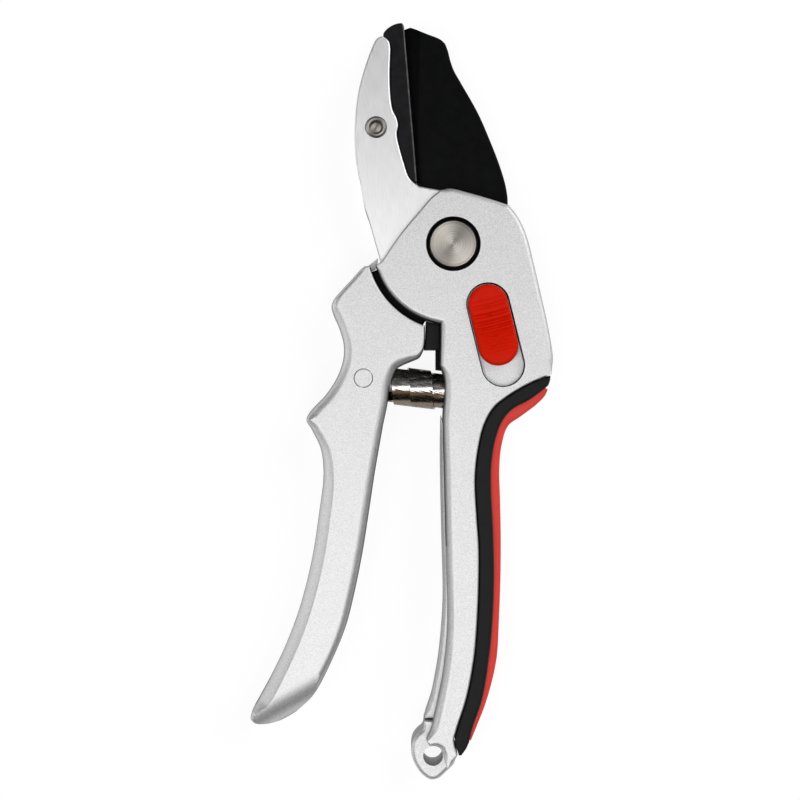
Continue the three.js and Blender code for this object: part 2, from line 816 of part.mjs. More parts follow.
// The two bevels that leave a thin edge along the anvil's face.
function cuttingBevels() {
  const face = inJaw(anvilFaceShares);
  const heel = face.at(-1);
  const along = face[0].clone().sub(heel).normalize();
  const length = heel.distanceTo(face[0]) + overrun;
  const tip = heel.clone().addScaledVector(along, length);
  const slope = (bladeThickness - edgeThickness) / 2 / bevelWidth;
  const from = clearance - overrun;
  const to = clearance + bevelWidth + overrun;
  const levelAt = (out) => edgeThickness / 2 + slope * (out - clearance);
  const section = new THREE.Shape([
    new THREE.Vector2(from, levelAt(from)),
    new THREE.Vector2(to, levelAt(to)),
    new THREE.Vector2(to, bladeThickness),
    new THREE.Vector2(from, bladeThickness),
  ]);
  const geometry = new THREE.ExtrudeGeometry(section, { depth: length, bevelEnabled: false });
  const frame = new THREE.Matrix4().makeBasis(
    new THREE.Vector3(along.y, -along.x, 0),
    new THREE.Vector3(0, 0, 1),
    new THREE.Vector3(-along.x, -along.y, 0),
  );
  geometry.applyMatrix4(frame.setPosition(tip.x, tip.y, 0));
  const wedge = solidOf(geometry);
  return joined(wedge, wedge.mirror([0, 0, 1])).translate([0, 0, mid]);
}

function blade() {
  const notchEnd = sliderTop.clone().multiplyScalar(slotRadius / sliderTop.length());
  const notch = stadiumOutline(sliderTop, notchEnd, pegRadius + clearance);
  return cut(
    prism(bladeOutline, bladeBottom, bladeTop),
    disc(boltBore + bushingWall + clearance, 0, front),
    disc(pinRadius + clearance, 0, front, bladePinPlace, smallBoreSides),
    prism(notch, 0, front),
    cuttingBevels(),
  );
}

function bladePin() {
  const chamfer = clearance / 2;
  return turned([
    [0, 0], [pinRadius - chamfer, 0], [pinRadius, chamfer], [pinRadius, front - chamfer],
    [pinRadius - chamfer, front], [0, front],
  ], bladePinPlace);
}

// Blade handle: two cheeks joined round the blade's tang

function bladeHandle() {
  const inner = inGrip(leverInnerShares);
  const body = slab(outline(
    arc(leverArcRadius, leverCornerAngle, noseAngle, headRounding),
    curve([polar(leverArcRadius, noseAngle), ...inHead(noseShares)], headRounding),
    curve([...inHead(leverUnderShares), inner[0]], headRounding, underRounding, handleRounding),
    curve(inner, handleRounding),
    curve(inGrip(leverTipShares), handleRounding, tipRounding),
    curve(
      [...inGrip(leverBackShares), ...inHead(leverShoulderShares)],
      tipRounding,
      palmRounding,
      palmRounding,
      handleRounding,
      headRounding,
    ),
  ), 0, front);
  const tongue = prism(outline(straight(inHead(leverTongueShares))), bladeBottom, bladeTop);
  const pocket = prism(
    grown(bladeOutline, clearance),
    bladeBottom - clearance,
    bladeTop + clearance,
  );
  const pinBore = disc(pinRadius + clearance, -overrun, front + overrun, bladePinPlace);
  const peg = springPeg(leverSeat, springDirection);
  return joined(cut(joined(body, tongue), pocket, pinBore, springPocket()), peg);
}

// Pivot stack

function pivotBolt() {
  const neck = front - boltHeadHeight;
  const foot = nutFloor + clearance;
  return turned([
    [0, foot], [boltRadius, foot], [boltRadius, neck], [boltHeadRadius, neck],
    [boltHeadRadius, front - boltHeadChamfer], [boltHeadRadius - boltHeadChamfer, front],
    [0, front],
  ]);
}

function pivotNut() {
  const hexagon = disc(nutRadius, 0, nutHeight, new THREE.Vector2(), hexSides);
  return cut(hexagon, disc(boltBore, nutFloor, front));
}

function ring(inner, outer, bottom, top, place = new THREE.Vector2(), sides = boreSides) {
  return turned([
    [inner, bottom], [outer, bottom], [outer, top], [inner, top], [inner, bottom],
  ], place, sides);
}

const pivotBushing = () => ring(boltBore, boltBore + bushingWall, bladeBottom, bladeTop);
const frontWasher = () => ring(
  boltBore,
  washerRadius,
  bladeTop + clearance,
  bladeTop + clearance + washerThickness,
);
const rearWasher = () => ring(
  boltBore,
  washerRadius,
  bladeBottom - clearance - washerThickness,
  bladeBottom - clearance,
);

// Lock: a ribbed slide, its steel peg, a retaining ring and a click ball

function lockSlider() {
  const base = recessFloor + clearance;
  const top = front + sliderProud;
  const body = slab(stadiumOutline(sliderTop, sliderBottom, sliderRadius, fineRounding), base, top);
  const pegWay = pegRadius + clearance;
  const socketTop = base + pegSocketDepth + clearance;
  const across = new THREE.Vector2(-slideDirection.y, slideDirection.x);
  const ribSpan = sliderTop.distanceTo(sliderBottom) + sliderRadius;
  const pitch = ribSpan / gripRibs;
  const start = sliderTop.clone().addScaledVector(slideDirection, (pitch - sliderRadius) / 2);
  const grooves = [];
  for (let i = 0; i < gripRibs; i += 1) {
    const centre = start.clone().addScaledVector(slideDirection, i * pitch);
    const reach = sliderRadius + overrun;
    const side = (out, along) => centre.clone()
      .addScaledVector(across, out)
      .addScaledVector(slideDirection, along);
    const half = gripRibWidth / 2;
    grooves.push(prism(outline(straight([
      side(-reach, -half), side(reach, -half), side(reach, half), side(-reach, half),
    ])), top - gripRibDepth, top + overrun));
  }
  return cut(
    body,
    disc(pegWay, base - overrun, socketTop, sliderTop, smallBoreSides),
    ...grooves,
  );
}

function lockPeg() {
  const foot = bladeTop + clearance;
  const head = recessFloor + clearance + pegSocketDepth;
  return disc(pegRadius, foot, head, sliderTop, smallBoreSides);
}

function lockRetainer() {
  const foot = bladeTop + clearance;
  return ring(
    pegRadius + clearance,
    retainerRadius,
    foot,
    foot + washerThickness,
    sliderTop,
    smallBoreSides,
  );
}

const detentBallLevel = recessFloor - detentBallRadius;

const detentBall = () => ballAt(detentBallRadius, sliderBottom, detentBallLevel);

function detentSpring() {
  const top = detentBallLevel - detentBallRadius - clearance;
  const inner = detentBallRadius - detentSpringWall;
  return ring(
    inner,
    detentBallRadius,
    top - detentSpringLength,
    top,
    sliderBottom,
    smallBoreSides,
  );
}

// Bumper and grips

function closingBumper() {
  const half = bumperThickness / 2;
  const block = slab(
    outline(straight(inHead(bumperShares), fineRounding)),
    mid - half,
    mid + half,
  );
  const start = bumperPlugPlace.clone();
  start.x -= overrun;
  const end = bumperPlugPlace.clone();
  end.x += bumperPlugLength;
  return joined(block, rod(bumperPlugRadius, start, end));
}

function blackGrip() {
  const groove = ribAlongGrip(ribReach + clearance, ribRoot, ribThickness / 2 + clearance);
  const half = redThickness / 2 + clearance;
  const channel = prism(grown(redOutline, clearance), mid - half, mid + half);
  return cut(slab(blackOutline, 0, front), groove, channel);
}

function redGrip() {
  const half = redThickness / 2;
  return slab(redOutline, mid - half, mid + half);
}

// Spring: one flat strip wound into a barrel between the two handles

function springStrip() {
  const length = leverSeat.distanceTo(neckSeat) - 2 * springSeatGap;
  const width = (length - springTurns * springTurnGap) / (springTurns + 1);
  const steps = springTurns * springStepsPerTurn;
  const centre = leverSeat.clone().add(neckSeat).multiplyScalar(1 / 2);
  const across = new THREE.Vector2(-springDirection.y, springDirection.x);
  const swing = springMiddleRadius - springEndRadius;
  const at = (radius, angle, along) => {
    const side = radius * Math.cos(angle);
    return new THREE.Vector3(
      centre.x + springDirection.x * along + across.x * side,
      centre.y + springDirection.y * along + across.y * side,
      mid + radius * Math.sin(angle),
    );
  };
  const sections = [];
  for (let i = 0; i <= steps; i += 1) {
    const share = i / steps;
    const angle = Math.PI * 2 * springTurns * (share - 1 / 2);
    const radius = springEndRadius + swing * Math.sin(Math.PI * share);
    const along = (length - width) * (share - 1 / 2);
    const inner = radius - springStripThickness / 2;
    const outer = radius + springStripThickness / 2;
    const low = along - width / 2;
    const high = along + width / 2;
    sections.push([
      at(inner, angle, low), at(outer, angle, low), at(outer, angle, high), at(inner, angle, high),
    ]);
  }
  return straightEnds(sections);
}

// Lets each end of the strip run on straight for one strip thickness.
function straightEnds(sections) {
  const extend = (end, before) => end.map((point, i) => {
    const way = point.clone().sub(before[i]).normalize();
    return point.clone().addScaledVector(way, springStripThickness);
  });
  return [
    extend(sections[0], sections[1]),
    ...sections,
    extend(sections.at(-1), sections.at(-2)),
  ];
}

function leastGap(sections) {
  let least = Infinity;
  for (let i = 0; i < sections.length; i += 1) {
    for (let j = i + springStepsPerTurn / 2; j < sections.length; j += 1) {
      for (const a of sections[i]) {
        for (const b of sections[j]) {
          least = Math.min(least, a.distanceTo(b));
        }
      }
    }
  }
  return least;
}

function spring() {
  const sections = springStrip();
  console.log(`Least gap of the spring to itself: ${leastGap(sections).toFixed(2)} mm`);
  const corners = sections[0].length;
  const indices = [0, 1, 2, 0, 2, 3];
  for (let level = 0; level < sections.length - 1; level += 1) {
    for (let i = 0; i < corners; i += 1) {
      const next = (i + 1) % corners;
      const low = level * corners;
      const high = low + corners;
      indices.push(low + i, high + next, low + next, low + i, high + i, high + next);
    }
  }
  const last = (sections.length - 1) * corners;
  indices.push(last, last + 2, last + 1, last, last + 3, last + 2);
  const positions = sections.flat().flatMap((point) => [point.x, point.y, point.z]);
  const geometry = new THREE.BufferGeometry();
  geometry.setAttribute('position', new THREE.Float32BufferAttribute(positions, 3));
  geometry.setIndex(indices);
  return solidOf(geometry);
}

// Materials

const finish = (color, roughness, metalness) => ({ color, roughness, metalness });
const castAluminium = finish(0xdcdcdc, 0.5, 0.85);
const bareSteel = finish(0xa59b91, 0.35, 1);
const bladeCoating = finish(0x111213, 0.3, 0.4);
const anvilCoating = finish(0x1e1f21, 0.4, 0.2);
const springSteel = finish(0xb8b0a6, 0.18, 1);
const bronze = finish(0xa07a3c, 0.4, 1);
const blackRubber = finish(0x28282a, 0.7, 0);
const redRubber = finish(0xdc372d, 0.55, 0);
const redPlastic = finish(0xe1230f, 0.45, 0);

const group = new THREE.Group();

function add(name, solid, look) {
  const mesh = solid.getMesh();
  const geometry = new THREE.BufferGeometry();
  geometry.setAttribute('position', new THREE.BufferAttribute(mesh.vertProperties, 3));
  geometry.setIndex(new THREE.BufferAttribute(mesh.triVerts, 1));
  geometry.computeVertexNormals();
  const part = new THREE.Mesh(geometry, new THREE.MeshStandardMaterial(look));
  part.name = name;
  group.add(part);
}

add('anvil_handle', anvilHandle(), castAluminium);
add('anvil', anvil(), anvilCoating);
add('anvil_screw', anvilScrew(), bareSteel);
add('anvil_nut', anvilNut(), bareSteel);
add('pivot_bolt', pivotBolt(), bareSteel);
add('pivot_nut', pivotNut(), bareSteel);
add('pivot_bushing', pivotBushing(), bronze);
add('pivot_washer_front', frontWasher(), bronze);
add('pivot_washer_rear', rearWasher(), bronze);
add('grip_black', blackGrip(), blackRubber);
add('grip_red', redGrip(), redRubber);
add('closing_bumper', closingBumper(), blackRubber);
add('lock_slider', lockSlider(), redPlastic);
add('lock_peg', lockPeg(), bareSteel);
add('lock_retainer', lockRetainer(), springSteel);
add('lock_detent_ball', detentBall(), bareSteel);
add('lock_detent_spring', detentSpring(), springSteel);
add('blade_handle', bladeHandle(), castAluminium);
add('blade', blade(), bladeCoating);
add('blade_pin', bladePin(), bareSteel);
add('spring', spring(), springSteel);

export default group;
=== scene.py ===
"""Anvil pruning shears, closed and locked, seen from straight above.

Millimetres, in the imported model's frame: the pivot axis is the Z axis, the backs of both
handles lie on Z = 0, and the jaws point along +Y.
"""

import math

import bpy
import numpy
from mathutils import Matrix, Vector


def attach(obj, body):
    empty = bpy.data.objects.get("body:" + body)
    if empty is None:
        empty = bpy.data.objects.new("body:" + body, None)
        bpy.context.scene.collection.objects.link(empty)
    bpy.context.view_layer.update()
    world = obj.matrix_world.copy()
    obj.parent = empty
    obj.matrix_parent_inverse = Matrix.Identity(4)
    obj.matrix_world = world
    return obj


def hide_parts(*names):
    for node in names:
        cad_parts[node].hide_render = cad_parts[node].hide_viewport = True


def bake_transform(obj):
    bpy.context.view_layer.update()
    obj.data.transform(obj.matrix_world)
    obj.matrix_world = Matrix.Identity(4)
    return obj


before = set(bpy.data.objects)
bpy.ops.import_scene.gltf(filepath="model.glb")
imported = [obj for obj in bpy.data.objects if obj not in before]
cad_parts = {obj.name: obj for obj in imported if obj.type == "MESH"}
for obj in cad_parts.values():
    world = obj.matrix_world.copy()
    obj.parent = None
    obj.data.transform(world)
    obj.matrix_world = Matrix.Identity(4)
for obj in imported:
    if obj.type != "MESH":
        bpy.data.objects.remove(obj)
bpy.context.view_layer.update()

millimetre = 0.001

# Driving lengths
jaw_length = 56  # pivot to the tip of the anvil arm
head_radius = 21.2  # pivot to the round lower edge of the head
grip_length = 99.5  # end of the linkage zone to the end of the eye

# Thicknesses, through the shears from front to back
handle_thickness = 16
arm_thickness = 11.5
anvil_thickness = 9
blade_thickness = 3
washer_thickness = 0.6
eye_thickness = 11
lip_thickness = 7
red_thickness = 11
bumper_thickness = 10

# Fits
clearance = 0.3
cutting_gap = 0.05  # between the blade's edge and the anvil
pin_clearance = 0.1  # round the blade pin in the handle
overrun = 1  # how far a cutting tool runs past the face it cuts

# Motion
opening_angle = 26  # degrees
lock_travel = 5.4

# Pivot
bolt_radius = 3.7
bolt_head_radius = 6.45
bolt_head_height = 2.7
bolt_head_chamfer = 0.35
head_recess_gap = 0.7  # round the bolt head
recess_flare = 0.25
nut_radius = 6.6
nut_height = 2.8
nut_floor = 1.2
nut_chamfer = 0.5

# Blade
boss_radius = 11.4
boss_wall_gap = 1
notch_depth = 1.3  # from the peg's centre to the round edge of the blade
lobe_gap = 0.7  # from that edge to the wall of the slot
bevel_width = 4.2
edge_thickness = 0.5
blade_edge_rounding = 0.3
pin_radius = 2.5
pin_chamfer = 0.15
pin_end_radius = 4.6
bushing_wall = 1.2

# Anvil fixing
screw_radius = 1.5
screw_head_radius = 2.7
screw_head_height = 1.7
screw_proud = 0.5
screw_head_chamfer = 0.35
socket_radius = 1.95
socket_floor_radius = 1.3
socket_depth = 1.2
anvil_nut_height = 1.9
edge_highlight_width = 0.7  # from the anvil's face to the edge of its painted highlight
edge_highlight_tilt = 0.2  # how far the faces with the painted highlight look towards the blade
tongue_thickness = 3.6
tongue_radius = 3.6

# Lock
slider_radius = 5.4
slider_proud = 1.6
slider_rounding = 1.1
slider_edge_steps = 8
slider_step = 0.12  # between the points and between the rings of its skin
slider_seam = 0.02  # half of what is left between the two sides of the innermost ring
slider_rib_shares = [
    0.17, 0.26, 0.37, 0.46, 0.53, 0.59, 0.635, 0.675, 0.712, 0.749, 0.786, 0.823, 0.86,
]
slider_rib_depths = [0.15, 0.35, 0.8, 1.05, 0.9, 0.6, 0.36, 0.3, 0.26, 0.24, 0.22, 0.18, 0.1]
slider_rib_half_widths = [0.5, 0.5, 0.45, 0.42, 0.36, 0.3, 0.24, 0.22, 0.22, 0.22, 0.22, 0.22, 0.22]
slider_rib_arch = 0.25
slider_fade_power = 6  # how late the grooves fade towards the slider's sides
recess_depth = 2.2
peg_radius = 1.5
peg_socket_depth = 1.3
retainer_radius = 3.2
detent_ball_radius = 1
detent_spring_length = 3.2

# Spring: one flat strip wound into a barrel between the two handles
strip_thickness = 0.5
strip_width = 6
strip_pitch = 4.9  # from one turn to the next
strip_turns = 3
strip_facets = 48  # in one turn
strip_shrink = 0.6  # how much smaller the barrel gets with each turn from its middle
spring_middle_radius = 5.2
spring_pocket_share = 0.25
spring_peg_radius = 1.9
spring_peg_length = 2.6

# Bumper, grips, lever tongue and hanging eye
bumper_plug_radius = 1.3
bumper_plug_length = 3.4
red_depth = 1  # how deep the red strip sits in the black one
lever_arc_gap = 1.3
eye_hole_radius = 2.7
eye_reach = 9  # round its hole, where the painted shade on the walls is lighter
lighter_wall_shade_start = -82  # how far down the right handle the painted shade on its walls turns lighter

# Roundings and draft of the cast and moulded edges
draft = 0.35
fine_rounding = 0.5
head_rounding = 1.3
handle_rounding = 2.1
palm_rounding = 3.5
shoulder_rounding = 2.6
tip_rounding = 4
under_rounding = 2.4
soft_rounding = 1.1

# The faces of the left handle fall away in an arc towards the outside of its tip
tip_fall_place_share = (-0.4, -0.724)
tip_fall_turn = -61
tip_fall_radius = 8.5
tip_fall_angle = 62
tip_fall_steps = 14
tip_fall_reach = 17  # past the outline of the tip

# Edge profiles by the size of the rounding, as powers of a superellipse: 2 is a round, 1 a chamfer
edge_powers = {under_rounding: 2, palm_rounding: 1.3, tip_rounding: 1.6}

# Roundings in their order along an outline
red_roundings = [fine_rounding] + [soft_rounding] * 3 + [fine_rounding]
lever_under_roundings = [fine_rounding] + [under_rounding] * 2 + [handle_rounding]
lever_inner_roundings = [handle_rounding] * 5 + [palm_rounding]
lever_back_roundings = [palm_rounding] * 3 + [shoulder_rounding] * 4 + [head_rounding] * 2

# How finely curves are stepped
steps_per_span = 8
rounding_steps = 8
arc_step_angle = 1.5
bore_sides = 96
hex_sides = 6
corner_stretch = 1.5  # the most that a corner's offset may grow
wall_rounding_share = 0.42  # the most of a wall that one rounding takes
kept_edge_share = 0.08  # the least of an edge that its roundings leave
fit_shrink_share = 0.05  # how much a rounding shrinks at a time until it fits
fit_rounds = 120
rounding_slope = 0.5  # the most that a rounding changes along the outline
join_tolerance = 0.02
sharp_angle = 32  # degrees between two faces that meet in a hard edge

# Outlines of the jaws, as shares of the jaw length
arm_back_shares = [
    (-0.451, 0.307), (-0.472, 0.415), (-0.476, 0.595), (-0.458, 0.749), (-0.419, 0.888),
    (-0.388, 0.968), (-0.371, 0.998), (-0.353, 1.009), (-0.34, 1.01),
]
arm_rim_shares = [
    (-0.34, 1.01), (-0.322, 0.999), (-0.308, 0.979), (-0.304, 0.947), (-0.307, 0.847),
    (-0.304, 0.73), (-0.293, 0.655), (-0.273, 0.612), (-0.266, 0.575), (-0.273, 0.538),
    (-0.257, 0.46), (-0.238, 0.395), (-0.218, 0.334), (-0.196, 0.305),
]
arm_neck_shares = [(-0.164, 0.283)]
anvil_top_shares = [
    (-0.34, 1.01), (-0.337, 1.03), (-0.323, 1.049), (-0.292, 1.07), (-0.262, 1.079),
    (-0.246, 1.078), (-0.237, 1.062),
]
anvil_face_shares = [
    (-0.237, 1.062), (-0.222, 0.883), (-0.205, 0.675), (-0.187, 0.463), (-0.175, 0.306),
]
blade_spine_shares = [
    (0.264, 0.276), (0.235, 0.382), (0.183, 0.518), (0.125, 0.65), (0.038, 0.804),
    (0.008, 0.857), (-0.011, 0.91), (-0.022, 0.954), (-0.036, 0.991),
]
blade_tip_shares = [
    (-0.036, 0.991), (-0.06, 1.012), (-0.134, 1.042), (-0.183, 1.062), (-0.206, 1.071),
]
screw_place_share = (-0.373, 0.568)
tongue_root_share = -0.25

# Outlines of the head and linkage, as shares of the head's radius
linkage_drop_share = 2.12
head_arc_share = 1.03
head_top_shares = [
    (-0.165, 0.698), (-0.042, 0.722), (0.208, 0.665), (0.467, 0.59), (0.712, 0.509),
]
head_side_shares = [
    (0.712, 0.509), (0.83, 0.358), (0.937, 0.137), (1.038, -0.245), (1.135, -0.66),
    (1.219, -1.038), (1.273, -1.344), (1.284, -1.486), (1.25, -1.679),
]
head_step_shares = [
    (-0.929, -0.217), (-0.873, -0.137), (-0.679, 0.142), (-0.425, 0.443), (-0.297, 0.594),
    (-0.165, 0.698),
]
arm_root_shares = [
    (-0.92, -0.283), (-0.939, -0.17), (-1, 0.047), (-1.066, 0.283), (-1.137, 0.505),
]
arm_hidden_shares = [(-0.165, 0.698), (0, 0.425), (-0.142, -0.377)]
slot_wall_share = (-0.5, 0.9)
slot_reach_share = 1.5
blade_shoulder_shares = [(0.519, -0.142), (0.637, 0.236), (0.712, 0.514)]
blade_heel_shares = [(-0.467, 0.566), (-0.505, 0.184)]
tang_lead_shares = [(-1.104, -0.349), (-1.274, -0.66), (-1.33, -1.038), (-1.349, -1.415)]
tang_trail_shares = [
    (-0.925, -1.58), (-0.825, -1.344), (-0.66, -1.25), (-0.467, -1.236), (-0.434, -1.104),
]
blade_pin_place_share = (-1.146, -1.712)
seat_upper_shares = [(1.241, -1.679), (0.976, -1.792), (0.722, -1.939), (0.528, -2.094)]
inner_upper_shares = [
    (-0.131, -2.184), (-0.127, -2.094), (-0.116, -1.934), (-0.113, -1.755),
    (-0.138, -1.627), (-0.165, -1.55),
]
neck_shares = [(-0.165, -1.55), (-0.165, -1.04)]
grip_crown_shares = [(1.236, -1.741), (1.217, -1.802)]
split_upper_shares = [(1.165, -1.849), (0.976, -1.986), (0.75, -2.113)]
red_upper_shares = [(1.216, -1.854), (1.18, -1.935), (1.078, -2.042), (0.872, -2.2)]
nose_shares = [(-0.354, -1.189), (-0.366, -1.316), (-0.387, -1.377)]
lever_under_shares = [
    (-0.387, -1.377), (-0.43, -1.447), (-0.533, -1.495), (-0.64, -1.54), (-0.717, -1.59),
    (-0.77, -1.69), (-0.811, -1.826), (-0.835, -2.014),
]
lever_shoulder_shares = [
    (-1.876, -2.252), (-1.856, -2.175), (-1.778, -2.075), (-1.627, -1.915), (-1.486, -1.693),
    (-1.41, -1.467), (-1.406, -1.274), (-1.467, -1.061), (-1.538, -0.896), (-1.561, -0.792),
    (-1.528, -0.698), (-1.439, -0.59), (-1.316, -0.458), (-1.189, -0.318), (-1.127, -0.278),
]
neck_rib_shares = [(-0.217, -1.35), (-0.217, -1.6), (-0.08, -1.62), (-0.08, -1.35)]
lever_tongue_shares = [
    (-1.15, -0.31), (-1.083, -0.252), (-0.965, -0.158), (-0.968, -0.2), (-1.008, -0.33),
    (-1.12, -0.38),
]
spring_seat_shares = [(-0.811, -1.8), (-0.116, -1.885)]
bumper_shares = [
    (-0.167, -1.028), (-0.167, -1.345), (-0.368, -1.345), (-0.35, -1.189), (-0.346, -0.985),
]
bumper_plug_share = (-0.18, -1.19)
slider_top_share = (0.444, -0.772)
slider_bottom_share = (0.573, -1.297)

# Outlines of the handles below the linkage, as shares of the grip length
seat_lower_shares = [
    (0.086, -0.042), (0.07, -0.108), (0.062, -0.186), (0.066, -0.282), (0.072, -0.372),
    (0.072, -0.462), (0.068, -0.569), (0.059, -0.677), (0.038, -0.786), (0.012, -0.867),
    (0.005, -0.899), (0.015, -0.938),
]
grip_end_shares = [(0.022, -0.938), (0.035, -0.92)]
split_lower_shares = [
    (0.133, -0.031), (0.114, -0.083), (0.104, -0.146), (0.103, -0.217), (0.108, -0.32),
    (0.111, -0.447), (0.107, -0.569), (0.097, -0.677), (0.079, -0.786), (0.052, -0.867),
    (0.0435, -0.903),
]
red_lower_shares = [
    (0.151, -0.043), (0.133, -0.097), (0.127, -0.163), (0.129, -0.241), (0.131, -0.347),
    (0.13, -0.464), (0.126, -0.573), (0.119, -0.682), (0.093, -0.79), (0.064, -0.866),
    (0.049, -0.902),
]
body_end_shares = [(0.002, -0.958), (-0.015, -0.974)]
eye_step_shares = [
    (-0.015, -0.974), (-0.023, -0.957), (-0.028, -0.937), (-0.036, -0.922), (-0.05, -0.916),
    (-0.066, -0.912), (-0.073, -0.899),
]
inner_lower_shares = [
    (-0.073, -0.899), (-0.059, -0.864), (-0.04, -0.786), (-0.025, -0.704), (-0.015, -0.583),
    (-0.019, -0.402), (-0.025, -0.151), (-0.028, -0.04),
]
eye_shares = [
    (-0.078, -0.852), (-0.082, -0.874), (-0.098, -0.889), (-0.11, -0.907), (-0.114, -0.934),
    (-0.11, -0.956), (-0.101, -0.977), (-0.084, -1), (-0.062, -1.0145), (-0.041, -1.012),
    (-0.017, -0.992), (0.004, -0.97), (0.008, -0.951), (0.002, -0.853),
]
eye_hole_share = (-0.054, -0.948)
lip_shares = [
    (-0.032, -0.015), (-0.034, -0.101), (-0.032, -0.251), (-0.029, -0.372),
    (-0.026, -0.503), (-0.029, -0.583), (-0.038, -0.677), (-0.047, -0.732),
    (-0.058, -0.786), (-0.073, -0.832), (-0.077, -0.85),
]
lip_hidden_shares = [(-0.02, -0.851), (0.01, -0.704), (0.02, -0.452), (0.015, -0.151)]
lever_inner_shares = [
    (-0.191, -0.04), (-0.215, -0.178), (-0.229, -0.272), (-0.248, -0.392), (-0.27, -0.502),
    (-0.294, -0.596), (-0.331, -0.687), (-0.379, -0.776), (-0.429, -0.826),
]
lever_tip_shares = [
    (-0.429, -0.826), (-0.458, -0.844), (-0.483, -0.853), (-0.512, -0.858),
    (-0.541, -0.853), (-0.551, -0.84), (-0.548, -0.82),
]
lever_back_shares = [
    (-0.548, -0.82), (-0.527, -0.782), (-0.499, -0.73), (-0.457, -0.641), (-0.419, -0.539),
    (-0.386, -0.409), (-0.366, -0.281), (-0.354, -0.173), (-0.362, -0.105),
    (-0.386, -0.054),
]

# How far up the back of the eye and of the lip lie, as shares of the handle's thickness
eye_base_share = 0.03
lip_base_share = 0.12

# Angles round the pivot, in degrees counterclockwise from +X
slot_root_angle = 151.6
boss_start_angle = 165
lever_corner_angle = 194.5
arm_end_angle = 195
tang_lead_angle = 197.5
nose_angle = 251
head_corner_angle = 260.8
lobe_end_angle = 308
slot_mouth_angle = 345
slot_jaw_angle = 448
pin_end_angles = (180, 350)  # round the blade pin
slot_lead_margin = 10  # kept clear beyond the open blade

# Levels worked out from the thicknesses
front = handle_thickness
mid = handle_thickness / 2
blade_top = mid + blade_thickness / 2
blade_bottom = mid - blade_thickness / 2
slot_top = blade_top + 2 * clearance + washer_thickness
slot_bottom = blade_bottom - 2 * clearance - washer_thickness
arm_back = mid - arm_thickness / 2
arm_front = mid + arm_thickness / 2
recess_floor = front - recess_depth
linkage_drop = head_radius * linkage_drop_share
head_arc_radius = head_radius * head_arc_share
lever_arc_radius = head_arc_radius + lever_arc_gap
bolt_bore = bolt_radius + clearance
slot_reach = head_radius * slot_reach_share

# Studio
floor_reach = 20000
floor_gap = 0.2  # below the backs of the handles
floor_colour = 0.8
floor_shadow_share = 0.15  # how much of the floor's brightness its shadow takes away
floor_glow = 0.9
world_glow = (0.4, 1)  # at the horizon and overhead
world_rise = (0.3, 0.95)  # between which sines of the elevation the one turns into the other
world_dusk = 0.3  # how bright the world's lower end, where the handles point, is to its upper one
world_turn = (-0.8, 0.2)
lamps = {  # azimuth and elevation in degrees, distance, size, glow
    "key": (-118, 73, 900, 700, 2.6),
    "left": (180, 18, 900, 700, 1.2),
    "right": (32, 38, 900, 700, 2.7),
}

# Camera, above the middle of the photograph
camera_place = (-14.4, -42.2)
camera_height = 450  # above the front of the handles
camera_lens = 75
camera_sensor = 36


# Places

def in_zone(shares, size, drop):
    return [Vector((x * size, y * size - drop)) for x, y in shares]


def in_jaw(shares):
    return in_zone(shares, jaw_length, 0)


def in_head(shares):
    return in_zone(shares, head_radius, 0)


def in_grip(shares):
    return in_zone(shares, grip_length, linkage_drop)


screw_place = in_jaw([screw_place_share])[0]
blade_pin_place = in_head([blade_pin_place_share])[0]
slider_top = in_head([slider_top_share])[0]
slider_bottom = in_head([slider_bottom_share])[0]
slide_direction = (slider_bottom - slider_top).normalized()
lobe_radius = slider_top.length + notch_depth
slot_radius = lobe_radius + lobe_gap
peg_unlocked = slider_top + slide_direction * lock_travel
recess_bottom = slider_bottom + slide_direction * lock_travel
eye_hole_place = in_grip([eye_hole_share])[0]
bumper_plug_place = in_head([bumper_plug_share])[0]
lever_seat, neck_seat = in_head(spring_seat_shares)
spring_direction = (neck_seat - lever_seat).normalized()


# Outline runs: lists of points whose z is the rounding radius at that point

def polar(radius, degrees, centre=Vector((0, 0))):
    angle = math.radians(degrees)
    return centre + radius * Vector((math.cos(angle), math.sin(angle)))


def straight(places, rounding=0):
    return [Vector((place.x, place.y, rounding)) for place in places]


def spline_point(knots, along):
    """A point of the centripetal spline through the knots, along counted in spans."""
    index = min(int(along), len(knots) - 2)
    share = along - index
    start, end = knots[index], knots[index + 1]
    before = knots[index - 1] if index > 0 else 2 * start - end
    after = knots[index + 2] if index + 2 < len(knots) else 2 * end - start
    lead = math.sqrt((start - before).length)
    span = math.sqrt((end - start).length)
    trail = math.sqrt((after - end).length)
    leaving = (start - before) / lead - (end - before) / (lead + span) + (end - start) / span
    arriving = (end - start) / span - (after - start) / (span + trail) + (after - end) / trail
    leaving *= span
    arriving *= span
    square = 3 * (end - start) - 2 * leaving - arriving
    cube = 2 * (start - end) + leaving + arriving
    return start + leaving * share + square * share**2 + cube * share**3


def spread(values, share):
    """The value at a share of the way through a list of evenly spaced values."""
    along = share * (len(values) - 1)
    index = min(int(along), max(len(values) - 2, 0))
    following = values[min(index + 1, len(values) - 1)]
    return values[index] + (following - values[index]) * (along - index)


def curve(places, *roundings):
    """A smooth curve through places, with its roundings spread evenly along it."""
    listed = roundings or (0,)
    last = len(places) - 1
    knots = [
        Vector((place.x, place.y, spread(listed, i / last)))
        for i, place in enumerate(places)
    ]
    steps = last * steps_per_span
    return [spline_point(knots, i / steps_per_span) for i in range(steps + 1)]


def arc(radius, start, end, rounding=0, centre=Vector((0, 0))):
    steps = max(2, math.ceil(abs(end - start) / arc_step_angle))
    places = [
        polar(radius, start + (end - start) * i / steps, centre)
        for i in range(steps + 1)
    ]
    return straight(places, rounding)


def backwards(run):
    return list(reversed(run))


def apart(a, b):
    return (a.xy - b.xy).length


